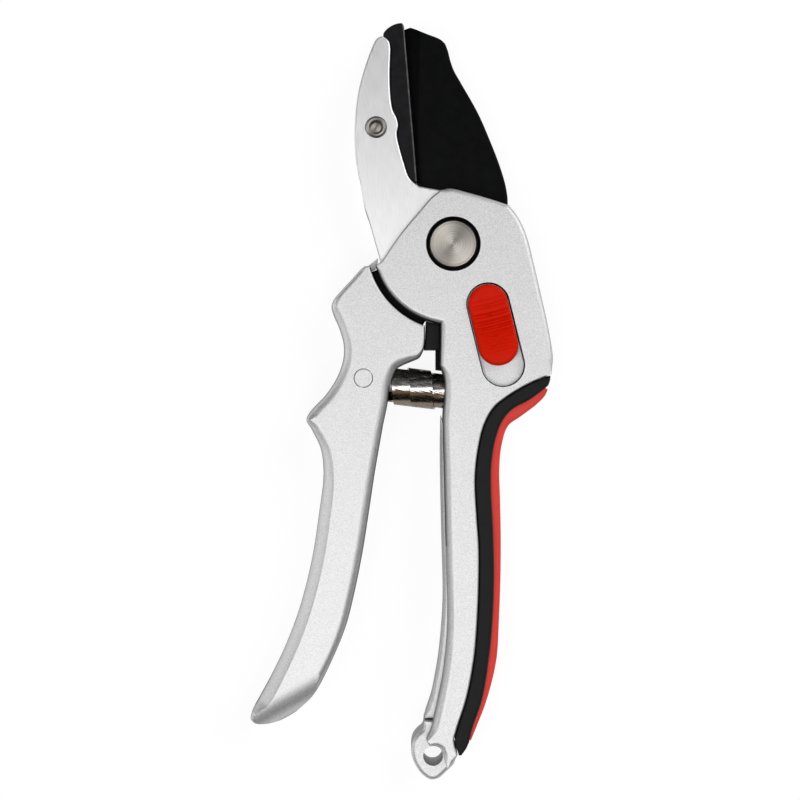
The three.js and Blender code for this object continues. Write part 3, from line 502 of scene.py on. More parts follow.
def signed_area(points):
    following = points[1:] + points[:1]
    return sum(a.x * b.y - b.x * a.y for a, b in zip(points, following)) / 2


def outline(*runs):
    """Joins runs into one closed outline, counterclockwise and with no point twice."""
    points = []
    for run in runs:
        for point in run:
            if not points or apart(point, points[-1]) > join_tolerance:
                points.append(point)
    if apart(points[0], points[-1]) < join_tolerance:
        points.pop()
    return backwards(points) if signed_area(points) < 0 else points


def left_normals(points, closed):
    """The normal on the left of each point's path, longer at corners so that both edges move alike."""
    normals = []
    last = len(points) - 1
    for i, point in enumerate(points):
        before = points[i - 1] if closed or i > 0 else point
        after = points[(i + 1) % len(points)] if closed or i < last else point
        into = (point - before).xy
        out = (after - point).xy
        into = into if into.length > 0 else out
        out = out if out.length > 0 else into
        into = into.normalized()
        out = out.normalized()
        normal = Vector((-into.y - out.y, into.x + out.x)).normalized()
        reach = max(normal.x * -into.y + normal.y * into.x, 1 / corner_stretch)
        normals.append(normal / reach)
    return normals


def moved(points, normals, distance):
    return [
        Vector((point.x + normal.x * distance, point.y + normal.y * distance, point.z))
        for point, normal in zip(points, normals)
    ]


def shifted(run, distance):
    """Moves an open run sideways, to the left of its direction."""
    return moved(run, left_normals(run, False), distance)


def grown(points, distance):
    """Grows a closed outline outwards on all sides."""
    return moved(points, left_normals(points, True), -distance)


# Meshes

def object_of(name, points, faces):
    mesh = bpy.data.meshes.new(name)
    mesh.from_pydata([Vector(point) * millimetre for point in points], [], faces)
    made = bpy.data.objects.new(name, mesh)
    bpy.context.scene.collection.objects.link(made)
    return made


def ring_faces(count, levels):
    faces = []
    for level in range(levels - 1):
        for i in range(count):
            low = level * count
            high = low + count
            turn = (i + 1) % count
            faces.append((low + i, low + turn, high + turn, high + i))
    return faces


def stack(name, rings):
    """Joins rings with the same number of points into a skin with flat ends."""
    count = len(rings[0])
    points = [point for ring in rings for point in ring]
    floor_face = tuple(reversed(range(count)))
    top_face = tuple(range(len(points) - count, len(points)))
    return object_of(name, points, ring_faces(count, len(rings)) + [floor_face, top_face])


def at_level(points, level):
    return [Vector((point.x, point.y, level)) for point in points]


def prism(points, bottom, top, name="tool"):
    return stack(name, [at_level(points, bottom), at_level(points, top)])


def walls_ahead(points, normals):
    """How far the far side of a closed outline is from each point, along its normal."""
    corners = numpy.array([point.xy for point in points])
    sides = numpy.roll(corners, -1, axis=0) - corners
    distances = []
    for i, normal in enumerate(normals):
        away = corners - corners[i]
        with numpy.errstate(divide="ignore", invalid="ignore"):
            turn = normal.x * sides[:, 1] - normal.y * sides[:, 0]
            ahead = (away[:, 0] * sides[:, 1] - away[:, 1] * sides[:, 0]) / turn
            along = (away[:, 0] * normal.y - away[:, 1] * normal.x) / turn
        met = (ahead > join_tolerance) & (along >= 0) & (along <= 1)
        met[i] = met[i - 1] = False
        distances.append(ahead[met].min() if met.any() else math.inf)
    return numpy.array(distances)


def fitted_insets(points, normals, asked):
    """How far each point may move in, limited by its wall, its edges and its neighbours' moves."""
    radii = numpy.minimum(asked, walls_ahead(points, normals) * wall_rounding_share)
    places = numpy.array([point.xy for point in points])
    ways = numpy.array([tuple(normal) for normal in normals])
    edges = numpy.roll(places, -1, axis=0) - places
    lengths = numpy.linalg.norm(edges, axis=1)
    for _ in range(fit_rounds):
        offsets = ways * radii[:, None]
        kept = edges + numpy.roll(offsets, -1, axis=0) - offsets
        tight = (edges * kept).sum(axis=1) < lengths**2 * kept_edge_share
        either = tight | numpy.roll(tight, 1)
        radii = numpy.where(either, radii / (1 + fit_shrink_share), radii)
    for _ in range(len(points)):
        from_before = numpy.roll(radii + lengths * rounding_slope, 1)
        from_after = numpy.roll(radii, -1) + lengths * rounding_slope
        limited = numpy.minimum(radii, numpy.minimum(from_before, from_after))
        if numpy.allclose(limited, radii):
            break
        radii = limited
    return radii


def slab(name, points, bottom, top, lean=0):
    """A plate whose front and back edges are rounded by each point's own radius.

    Its walls lean inwards from the middle, by so much at the front and at the back, and less
    where the rounding is wide.
    """
    normals = left_normals(points, True)
    radii = numpy.array([max(point.z, fine_rounding) for point in points])
    slants = lean * numpy.clip(1 - radii / palm_rounding, 0, 1)
    asked = radii + slants
    insets = fitted_insets(points, normals, asked)
    leans = insets * slants / asked
    power = numpy.interp(radii, list(edge_powers), list(edge_powers.values()))

    def ring(step, level, side):
        angle = math.pi / 2 * step / rounding_steps
        inset = 1 - math.cos(angle) ** (2 / power)
        drop = 1 - math.sin(angle) ** (2 / power)
        moves = leans + (insets - leans) * inset
        levels = level - side * (insets - leans) * drop
        return [
            Vector((point.x + normal.x * move, point.y + normal.y * move, height))
            for point, normal, move, height in zip(points, normals, moves, levels)
        ]

    low = [ring(step, bottom, -1) for step in range(rounding_steps, -1, -1)]
    waist = [at_level(points, (bottom + top) / 2)] if lean else []
    high = [ring(step, top, 1) for step in range(rounding_steps + 1)]
    return stack(name, low + waist + high)


def disc_outline(radius, place=Vector((0, 0)), sides=bore_sides):
    return straight([polar(radius, 360 * i / sides, place) for i in range(sides)])


def disc(radius, bottom, top, place=Vector((0, 0))):
    return prism(disc_outline(radius, place), bottom, top)


def turned(name, profile, place=Vector((0, 0))):
    """A solid of revolution through (radius, level) pairs, whose ends are flat discs."""
    rings = [at_level(disc_outline(radius, place), level) for radius, level in profile]
    return stack(name, rings)


def stadium_outline(start, end, radius):
    along = end - start
    angle = math.degrees(math.atan2(along.y, along.x))
    return outline(
        arc(radius, angle + 90, angle + 270, 0, start),
        arc(radius, angle - 90, angle + 90, 0, end),
    )


def flared(points, bottom, top, flare):
    """A cutting tool that widens by its flare at the face it cuts."""
    return stack("tool", [
        at_level(points, bottom),
        at_level(points, top - flare),
        at_level(grown(points, flare), top),
        at_level(grown(points, flare), top + overrun),
    ])


def rod(radius, start, end):
    """A round rod in the plane of the shears, at mid thickness."""
    along = end - start
    across = Vector((-along.y, along.x)).normalized()
    rings = []
    for foot in (start, end):
        ring = []
        for i in range(bore_sides):
            angle = 2 * math.pi * i / bore_sides
            side = foot + across * radius * math.cos(angle)
            ring.append(Vector((side.x, side.y, mid + radius * math.sin(angle))))
        rings.append(ring)
    return stack("tool", rings)


def applied(made):
    """Makes the object's modifiers part of its mesh."""
    bpy.context.view_layer.update()
    depsgraph = bpy.context.evaluated_depsgraph_get()
    mesh = bpy.data.meshes.new_from_object(made.evaluated_get(depsgraph))
    made.modifiers.clear()
    made.data = mesh
    return made


def combined(target, operation, tools):
    for tool in tools:
        modifier = target.modifiers.new("combine", "BOOLEAN")
        modifier.operation = operation
        modifier.object = tool
        modifier.solver = "EXACT"
        applied(target)
        bpy.data.objects.remove(tool)
    return target


def joined(target, *tools):
    return combined(target, "UNION", tools)


def cut(target, *tools):
    return combined(target, "DIFFERENCE", tools)


def smoothed(made):
    """Shades round stretches smoothly, and leaves flat faces flat and hard edges hard."""
    made.data.shade_smooth()
    made.data.set_sharp_from_angle(angle=math.radians(sharp_angle))
    modifier = made.modifiers.new("normals", "WEIGHTED_NORMAL")
    modifier.keep_sharp = True
    return applied(made)


def placed(made, body, slot, look, *nodes):
    """Gives a finished piece its material, its body and the nodes that it stands for."""
    made.data.materials.clear()
    made.data.materials.append(look)
    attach(made, body)
    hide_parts(*nodes)
    return made


# Outlines shared by mating pieces

anvil_face = curve(in_jaw(anvil_face_shares), fine_rounding)

anvil_outline = outline(
    curve(in_jaw(anvil_top_shares), fine_rounding),
    anvil_face,
    backwards(curve(in_jaw(arm_rim_shares), fine_rounding)),
)

tongue_root = tongue_root_share * jaw_length
tongue_outline = outline(
    straight([
        Vector((tongue_root, screw_place.y + tongue_radius)),
        Vector((tongue_root, screw_place.y - tongue_radius)),
    ]),
    backwards(arc(tongue_radius, 90, 270, 0, screw_place)),
)

grip_seat = curve(in_head(seat_upper_shares) + in_grip(seat_lower_shares), fine_rounding)
grip_split = curve(in_head(split_upper_shares) + in_grip(split_lower_shares), soft_rounding)

black_outline = outline(
    grip_seat,
    straight(in_grip(grip_end_shares), fine_rounding),
    backwards(grip_split),
    straight(backwards(in_head(grip_crown_shares)), soft_rounding),
)

red_outline = outline(
    backwards(curve(
        in_head(red_upper_shares) + in_grip(red_lower_shares),
        *red_roundings,
    )),
    straight(shifted(grip_split[:-1], -red_depth), fine_rounding),
)

blade_outline = outline(
    shifted(anvil_face, cutting_gap),
    curve(in_head(blade_heel_shares)),
    arc(boss_radius, boss_start_angle, tang_lead_angle),
    curve(in_head(tang_lead_shares)),
    arc(pin_end_radius, *pin_end_angles, 0, blade_pin_place),
    curve(in_head(tang_trail_shares)),
    arc(lobe_radius, nose_angle, lobe_end_angle),
    curve(in_head(blade_shoulder_shares) + in_jaw(blade_spine_shares)),
    curve(in_jaw(blade_tip_shares)),
)

head_outline = outline(
    curve(in_head(head_top_shares), head_rounding),
    curve(in_head(head_side_shares), head_rounding),
    grip_seat,
    straight(in_grip(body_end_shares), handle_rounding),
    curve(in_grip(eye_step_shares), handle_rounding, head_rounding),
    curve(in_grip(inner_lower_shares) + in_head(inner_upper_shares), handle_rounding),
    straight(in_head(neck_shares), handle_rounding),
    arc(head_arc_radius, head_corner_angle, arm_end_angle, head_rounding),
    curve(in_head(head_step_shares), fine_rounding),
)

neck_rib = outline(straight(in_head(neck_rib_shares), fine_rounding))


# Material nodes

noise_low = 0.3  # most of a noise lies between these two values
noise_high = 0.7
plain_detail = 2
fine_detail = 3
ring_detail = 4


def new_material(name, metallic=0, specular=0.5):
    made = bpy.data.materials.new(name)
    made.use_nodes = True
    shader = made.node_tree.nodes["Principled BSDF"]
    shader.inputs["Metallic"].default_value = metallic
    shader.inputs["Specular IOR Level"].default_value = specular
    return made, shader


def node(tree, kind, **settings):
    made = tree.nodes.new(kind)
    for key, value in settings.items():
        if key in made.inputs:
            made.inputs[key].default_value = value
        else:
            setattr(made, key, value)
    return made


def object_places(tree):
    return tree.nodes.new("ShaderNodeTexCoord").outputs["Object"]


def stretched_places(tree, turn, stretch, centre=Vector((0, 0))):
    """Object places moved to a centre, turned about Z, and squeezed along each axis."""
    mapping = node(tree, "ShaderNodeMapping", vector_type="TEXTURE")
    mapping.inputs["Location"].default_value = (*(centre * millimetre), 0)
    mapping.inputs["Rotation"].default_value = (0, 0, math.radians(turn))
    mapping.inputs["Scale"].default_value = stretch
    tree.links.new(object_places(tree), mapping.inputs["Vector"])
    return mapping.outputs["Vector"]


def noise(tree, places, grain, detail=plain_detail):
    """Noise whose features are about as large as its grain, in millimetres."""
    made = node(tree, "ShaderNodeTexNoise", Scale=1 / (grain * millimetre), Detail=detail)
    tree.links.new(places, made.inputs["Vector"])
    return made.outputs["Fac"]


def mapped(tree, value, from_low, from_high, low, high, interpolation="SMOOTHSTEP"):
    made = node(tree, "ShaderNodeMapRange", interpolation_type=interpolation)
    made.inputs["From Min"].default_value = from_low
    made.inputs["From Max"].default_value = from_high
    made.inputs["To Min"].default_value = low
    made.inputs["To Max"].default_value = high
    tree.links.new(value, made.inputs["Value"])
    return made.outputs["Result"]


def ranged(tree, value, low, high):
    """Spreads the middle of a noise over the values from low to high."""
    return mapped(tree, value, noise_low, noise_high, low, high)


def grey(tone):
    return (tone, tone, tone, 1)


def mixed(tree, value, low, high):
    """A colour between two others, each of them a colour or another node's output."""
    made = node(tree, "ShaderNodeMix", data_type="RGBA")
    factor, start, end = (made.inputs[i] for i in (0, 6, 7))
    tree.links.new(value, factor)
    for socket, colour in ((start, low), (end, high)):
        if isinstance(colour, tuple):
            socket.default_value = (*colour, 1)
        else:
            tree.links.new(colour, socket)
    return made.outputs[2]


def bumped(tree, shader, height, depth):
    """A bump of the given depth in millimetres, on top of any that is there already."""
    made = node(tree, "ShaderNodeBump", Distance=depth * millimetre)
    tree.links.new(height, made.inputs["Height"])
    if shader.inputs["Normal"].is_linked:
        tree.links.new(shader.inputs["Normal"].links[0].from_socket, made.inputs["Normal"])
    tree.links.new(made.outputs["Normal"], shader.inputs["Normal"])


def tilt(tree, way):
    """How far the surface looks towards a way of the object: the cosine of the angle."""
    made = node(tree, "ShaderNodeVectorMath", operation="DOT_PRODUCT")
    tree.links.new(tree.nodes.new("ShaderNodeTexCoord").outputs["Normal"], made.inputs[0])
    made.inputs[1].default_value = way
    return made.outputs["Value"]


def flatness(tree):
    """One on faces that look to the front or the back, and zero on the walls between them."""
    size = node(tree, "ShaderNodeMath", operation="ABSOLUTE")
    tree.links.new(tilt(tree, (0, 0, 1)), size.inputs[0])
    return mapped(tree, size.outputs[0], wall_tilt, face_tilt, 0, 1)


def centre_distance(tree, centre):
    """The distance from a centre, in the plane of the shears."""
    flat = node(tree, "ShaderNodeVectorMath", operation="MULTIPLY")
    flat.inputs[1].default_value = (1, 1, 0)
    tree.links.new(stretched_places(tree, 0, (1, 1, 1), centre), flat.inputs[0])
    length = node(tree, "ShaderNodeVectorMath", operation="LENGTH")
    tree.links.new(flat.outputs["Vector"], length.inputs[0])
    return length.outputs["Value"]


# Materials, with their colours as linear red, green and blue

wall_tilt = 0.05  # the largest Z of a normal that counts fully as a wall's
face_tilt = 0.75  # the smallest that counts fully as a face's
aluminium_metallic = 0.85
# Painted shade: the walls of the castings are darkened by the way they face, in place of shade from the
# lamps
cast_wall_shade = (0.16, 0.16, 0.162)
# A lighter painted shade for the walls of the lip, round the eye and low on the right handle
lighter_wall_shade_tone = (0.42, 0.42, 0.425)
cast_dark = (0.62, 0.62, 0.63)
cast_light = (0.84, 0.84, 0.84)
cast_roughness = (0.47, 0.52)
cast_grain = 0.27
cast_grain_depth = 0.05
sanded_dark = (0.89, 0.89, 0.9)
sanded_light = (0.96, 0.96, 0.96)
sanded_roughness = (0.34, 0.44)
sanding_turn = 98
sanding_stretch = (8, 0.35, 1)
sanding_grain = 0.6
sanding_depth = 0.02
blade_dark = (0.0016, 0.002, 0.0018)
blade_light = (0.0032, 0.0036, 0.0034)
blade_specular = 0.07
blade_roughness = (0.35, 0.45)
blade_grain = 0.3
blade_grain_depth = 0.004
anvil_dark = (0.006, 0.006, 0.007)
anvil_light = (0.011, 0.011, 0.013)
anvil_specular = 0.14
# Painted highlight along the anvil's edge next to the blade
edge_highlight_dark = (0.08, 0.08, 0.08)
edge_highlight_light = (0.14, 0.14, 0.14)
anvil_roughness = (0.4, 0.5)
anvil_grain = 0.25
anvil_grain_depth = 0.02
coating_cloud_size = 10  # how many times as large as its grain the clouds of a coating are
turned_dark = (0.29, 0.265, 0.235)
turned_light = (0.59, 0.555, 0.51)
turned_roughness = (0.28, 0.42)
turned_anisotropy = 0.75
# Painted shade on the walls of the bolt, the screw and the nuts
turned_wall_shade = (0.05, 0.045, 0.04)
bolt_ring_pitch = 0.35
screw_ring_pitch = 0.2
ring_slenderness = 30  # how many times as wide as deep the turned rings are
plain_steel_roughness = (0.2, 0.3)
plain_steel_grain = 1
# Painted shade: a near-black film in the recesses of the head and on the rib behind its neck
recess_shade_colour = (0.006, 0.006, 0.006)
recess_shade_grain = 1
bronze_dark = (0.3, 0.18, 0.06)
bronze_light = (0.45, 0.28, 0.1)
bronze_roughness = (0.35, 0.5)
bronze_grain = 1.5
rubber_dark = (0.012, 0.012, 0.012)
rubber_light = (0.017, 0.017, 0.017)
rubber_specular = 0.15
rubber_roughness = (0.55, 0.7)
rubber_grain = 0.3
rubber_grain_depth = 0.02
red_rubber_dark = (0.79, 0.055, 0.04)
red_rubber_light = (0.91, 0.078, 0.06)
red_rubber_specular = 0.22
red_rubber_roughness = (0.45, 0.6)
red_plastic_dark = (0.68, 0.01, 0.001)
red_plastic_light = (0.78, 0.015, 0.002)
red_plastic_specular = 0.06
red_plastic_roughness = (0.35, 0.45)
red_plastic_grain = 0.25
red_plastic_grain_depth = 0.01
moulded_cloud_size = 20  # how many times as large as its grain the clouds of a moulding are
spring_roughness = (0.18, 0.3)
spring_mark_turn = -15
spring_mark_stretch = (12, 0.4, 0.4)
spring_mark_grain = 0.5
spring_mark_shift = 0.12  # how far the marks shift the tone
spring_wave_grain = 1.5
spring_wave_depth = 0.02
# Painted reflections and highlights of the spring's strip, by the way that it looks: 0 down the picture,
# 1 up it
spring_painted_reflections = {
    0: (0.05, 0.045, 0.04),
    0.06: (0.2, 0.17, 0.13),
    0.2: (0.26, 0.22, 0.17),
    0.25: (0.5, 0.47, 0.42),
    0.28: (0.06, 0.04, 0.02),
    0.44: (0.05, 0.03, 0.02),
    0.48: (0.9, 0.9, 0.88),
    0.55: (0.85, 0.84, 0.82),
    0.58: (0.35, 0.33, 0.3),
    0.62: (0.95, 0.93, 0.9),
    0.66: (0.8, 0.78, 0.74),
    0.69: (0.12, 0.11, 0.1),
    0.72: (0.75, 0.74, 0.72),
    0.74: (0.06, 0.06, 0.06),
    0.79: (0.03, 0.03, 0.03),
    0.82: (0.5, 0.48, 0.45),
    0.92: (0.45, 0.42, 0.38),
    0.96: (0.05, 0.05, 0.05),
    1: (0.006, 0.006, 0.006),
}


def shot_blasting(tree):
    return noise(tree, object_places(tree), cast_grain, fine_detail)


def sanding(tree):
    places = stretched_places(tree, sanding_turn, sanding_stretch)
    return noise(tree, places, sanding_grain, fine_detail)


def aluminium(name, pattern, wall, dark, light, roughness, depth):
    """Bare aluminium with a pattern on its faces, and painted shade on its walls: their colour and the
    tint of their reflections darken by the way they face.
    """
    made, shader = new_material(name, aluminium_metallic)
    tree = made.node_tree
    grain = pattern(tree)
    faces = mixed(tree, ranged(tree, grain, 0, 1), dark, light)
    flat = flatness(tree)
    tree.links.new(mixed(tree, flat, wall, faces), shader.inputs["Base Color"])
    tree.links.new(mixed(tree, flat, wall, (1, 1, 1)), shader.inputs["Specular Tint"])
    tree.links.new(ranged(tree, grain, *roughness), shader.inputs["Roughness"])
    bumped(tree, shader, grain, depth)
    return made


def coated_steel(name, specular, dark, light, roughness, grain_size, depth):
    """A black coating, smooth on the blade and satin on the anvil."""
    made, shader = new_material(name, 0, specular)
    tree = made.node_tree
    places = object_places(tree)
    grain = noise(tree, places, grain_size)
    clouds = noise(tree, places, coating_cloud_size * grain_size)
    tree.links.new(mixed(tree, ranged(tree, clouds, 0, 1), dark, light), shader.inputs["Base Color"])
    tree.links.new(ranged(tree, grain, *roughness), shader.inputs["Roughness"])
    bumped(tree, shader, grain, depth)
    return made


def turned_steel(name, centre, ring_pitch):
    """Steel turned on a lathe: fine rings round its centre, and painted shade on its walls."""
    made, shader = new_material(name, 1)
    tree = made.node_tree
    rings = noise(tree, centre_distance(tree, centre), ring_pitch, ring_detail)
    faces = mixed(tree, ranged(tree, rings, 0, 1), turned_dark, turned_light)
    tree.links.new(mixed(tree, flatness(tree), turned_wall_shade, faces), shader.inputs["Base Color"])
    tree.links.new(ranged(tree, rings, *turned_roughness), shader.inputs["Roughness"])
    shader.inputs["Anisotropic"].default_value = turned_anisotropy
    tangent = node(tree, "ShaderNodeTangent", direction_type="RADIAL", axis="Z")
    tree.links.new(tangent.outputs["Tangent"], shader.inputs["Tangent"])
    bumped(tree, shader, rings, ring_pitch / ring_slenderness)
    return made


def recess_shade_look():
    """Painted shade: a near-black film on the walls of the recesses in the head and on the rib behind
    its neck, where shade falls.
    """
    made, shader = new_material("painted_shade_film", 0, blade_specular)
    tree = made.node_tree
    film = noise(tree, object_places(tree), recess_shade_grain)
    tree.links.new(mixed(tree, film, recess_shade_colour, blade_light), shader.inputs["Base Color"])
    return made


def clouded_metal(name, dark, light, roughness, grain_size):
    """Plain metal whose tone varies in soft clouds."""
    made, shader = new_material(name, 1)
    tree = made.node_tree
    clouds = noise(tree, object_places(tree), grain_size, fine_detail)
    tree.links.new(mixed(tree, clouds, dark, light), shader.inputs["Base Color"])
    tree.links.new(ranged(tree, clouds, *roughness), shader.inputs["Roughness"])
    return made


def spring_look():
    """A steel strip whose facets get painted reflections and highlights by the way they look, and carry
    fine rolling marks.
    """
    made, shader = new_material("spring_steel", 1)
    tree = made.node_tree
    across = Vector((-spring_direction.y, spring_direction.x, 0))
    stretched = stretched_places(tree, spring_mark_turn, spring_mark_stretch)
    marks = noise(tree, stretched, spring_mark_grain, fine_detail)
    shift = ranged(tree, marks, -spring_mark_shift, spring_mark_shift)
    total = node(tree, "ShaderNodeMath", operation="ADD")
    tree.links.new(tilt(tree, across), total.inputs[0])
    tree.links.new(shift, total.inputs[1])
    place = mapped(tree, total.outputs[0], -1, 1, 0, 1, "LINEAR")
    ramp = tree.nodes.new("ShaderNodeValToRGB")
    stops = ramp.color_ramp.elements
    while len(stops) > 1:
        stops.remove(stops[-1])
    for position, colour in spring_painted_reflections.items():
        stop = stops.new(position)
        stop.color = (*colour, 1)
    stops.remove(stops[0])
    tree.links.new(place, ramp.inputs["Fac"])
    tree.links.new(ramp.outputs["Color"], shader.inputs["Base Color"])
    tree.links.new(ranged(tree, marks, *spring_roughness), shader.inputs["Roughness"])
    bumped(tree, shader, noise(tree, object_places(tree), spring_wave_grain), spring_wave_depth)
    return made


def moulded(name, specular, dark, light, roughness, grain_size, depth):
    """Rubber or plastic with a fine moulded grain."""
    made, shader = new_material(name, 0, specular)
    tree = made.node_tree
    places = object_places(tree)
    grain = noise(tree, places, grain_size, fine_detail)
    clouds = noise(tree, places, moulded_cloud_size * grain_size)
    tree.links.new(mixed(tree, clouds, dark, light), shader.inputs["Base Color"])
    tree.links.new(ranged(tree, grain, *roughness), shader.inputs["Roughness"])
    bumped(tree, shader, grain, depth)
    return made


def castings(name, wall):
    return aluminium(
        name, shot_blasting, wall, cast_dark, cast_light, cast_roughness, cast_grain_depth,
    )


# Painted shade on the walls of this casting and of the pieces that share its material
cast = castings("cast_aluminium", cast_wall_shade)
cast_with_lighter_shade = castings("aluminium_lighter_wall_shade", lighter_wall_shade_tone)
sanded = aluminium(
    "sanded_aluminium",
    sanding,
    cast_wall_shade,
    sanded_dark,
    sanded_light,
    sanded_roughness,
    sanding_depth,
)
painted_recess_shade = recess_shade_look()
blade_black = coated_steel(
    "blade_coating",
    blade_specular,
    blade_dark,
    blade_light,
    blade_roughness,
    blade_grain,
    blade_grain_depth,
)
anvil_finish = (anvil_roughness, anvil_grain, anvil_grain_depth)
anvil_black = coated_steel("anvil_coating", anvil_specular, anvil_dark, anvil_light, *anvil_finish)
anvil_edge_highlight = coated_steel("anvil_painted_highlight", anvil_specular, edge_highlight_dark, edge_highlight_light, *anvil_finish)
bolt_steel = turned_steel("bolt_steel", Vector((0, 0)), bolt_ring_pitch)
screw_steel = turned_steel("screw_steel", screw_place, screw_ring_pitch)
spring_reflection_paint = spring_look()
plain_steel = clouded_metal(
    "bright_steel", turned_dark, turned_light, plain_steel_roughness, plain_steel_grain,
)
bronze = clouded_metal("bronze", bronze_dark, bronze_light, bronze_roughness, bronze_grain)
black_rubber = moulded(
    "black_rubber",
    rubber_specular,
    rubber_dark,
    rubber_light,
    rubber_roughness,
    rubber_grain,
    rubber_grain_depth,
)
red_rubber = moulded(
    "red_rubber",
    red_rubber_specular,
    red_rubber_dark,
    red_rubber_light,
    red_rubber_roughness,
    rubber_grain,
    rubber_grain_depth,
)
red_plastic = moulded(
    "red_plastic",
    red_plastic_specular,
    red_plastic_dark,
    red_plastic_light,
    red_plastic_roughness,
    red_plastic_grain,
    red_plastic_grain_depth,
)


# Anvil handle: head, arm, right handle and hanging eye, cast in one piece

def anvil_arm():
    return slab("arm", outline(
        curve(in_head(arm_root_shares) + in_jaw(arm_back_shares), fine_rounding),
        curve(in_jaw(arm_rim_shares) + in_jaw(arm_neck_shares), fine_rounding),
        straight(in_head(arm_hidden_shares), fine_rounding),
    ), arm_back, arm_front)


def hanging_eye():
    base = handle_thickness * eye_base_share
    return slab("eye", outline(curve(in_grip(eye_shares), head_rounding)), base, base + eye_thickness)


def inner_lip():
    base = handle_thickness * lip_base_share
    lip = outline(
        curve(in_grip(lip_shares), head_rounding),
        straight(in_grip(lip_hidden_shares), fine_rounding),
    )
    made = slab("lip", lip, base, base + lip_thickness)
    return joined(made, slab("rib", neck_rib, base, base + lip_thickness))


def slot_tools():
    """The slot that the blade and its tang swing in."""
    lead_angle = tang_lead_angle - opening_angle - slot_lead_margin
    swing = prism(outline(
        arc(slot_reach, lead_angle, head_corner_angle),
        arc(slot_radius, head_corner_angle, slot_mouth_angle),
        arc(slot_reach, slot_mouth_angle, slot_jaw_angle),
        straight(in_head([slot_wall_share])),
        arc(boss_radius + boss_wall_gap, slot_root_angle, lead_angle),
    ), slot_bottom, slot_top)
    return [swing, prism(grown(blade_outline, clearance), slot_bottom, slot_top)]


def lock_tools():
    retainer_way = retainer_radius + clearance
    peg_way = peg_radius + clearance
    recess = stadium_outline(slider_top, recess_bottom, slider_radius + clearance)
    detent_depth = detent_spring_length + 2 * detent_ball_radius + 2 * clearance
    return [
        flared(recess, recess_floor, front, recess_flare),
        prism(stadium_outline(slider_top, peg_unlocked, peg_way), slot_top - overrun, front),
        prism(stadium_outline(slider_top, peg_unlocked, retainer_way), blade_top, slot_top),
        disc(detent_ball_radius + clearance, recess_floor - detent_depth, front, slider_bottom),
    ]


def pivot_tools():
    recess = disc_outline(bolt_head_radius + head_recess_gap)
    return [
        disc(bolt_bore, -overrun, front + overrun),
        flared(recess, front - bolt_head_height - clearance, front, recess_flare),
        disc(nut_radius + clearance, -overrun, nut_height + clearance),
    ]


def anvil_tools():
    head_base = arm_front + screw_proud - screw_head_height
    half = anvil_thickness / 2 + clearance
    tongue_half = tongue_thickness / 2 + clearance
    head_way = screw_head_radius + clearance
    nut_top = arm_back + anvil_nut_height
    return [
        prism(grown(anvil_outline, clearance), mid - half, mid + half),
        prism(grown(tongue_outline, clearance), mid - tongue_half, mid + tongue_half),
        disc(screw_radius + clearance, arm_back - overrun, arm_front + overrun, screw_place),
        disc(head_way, head_base - clearance, arm_front + overrun, screw_place),
        disc(head_way, arm_back - overrun, nut_top + clearance, screw_place),
    ]


def spring_peg(seat, direction):
    tip = seat + direction * spring_peg_length
    return rod(spring_peg_radius, seat - direction * overrun, tip)


def spring_pocket():
    """Room for the spring in the wall of the left handle, from its seat outwards."""
    radius = spring_middle_radius + strip_thickness + clearance
    return rod(radius, lever_seat, lever_seat.lerp(neck_seat, spring_pocket_share))


def bumper_hole():
    reach = Vector((bumper_plug_length + clearance, 0))
    past = Vector((overrun, 0))
    start = bumper_plug_place - past
    return rod(bumper_plug_radius + clearance, start, bumper_plug_place + reach)


def inside(points, place):
    """Whether a place lies inside a closed outline."""
    crossings = 0
    for a, b in zip(points, points[1:] + points[:1]):
        if (a.y > place.y) != (b.y > place.y):
            share = (place.y - a.y) / (b.y - a.y)
            crossings += a.x + (b.x - a.x) * share > place.x
    return crossings % 2 == 1


def in_recess(place):
    """Whether a place lies in or over the walls of the slider's recess."""
    span = (recess_bottom - slider_top).length
    along = min(max((place.xy - slider_top).dot(slide_direction), 0), span)
    reach = slider_radius + clearance + recess_flare + join_tolerance
    return (place.xy - slider_top - slide_direction * along).length < reach


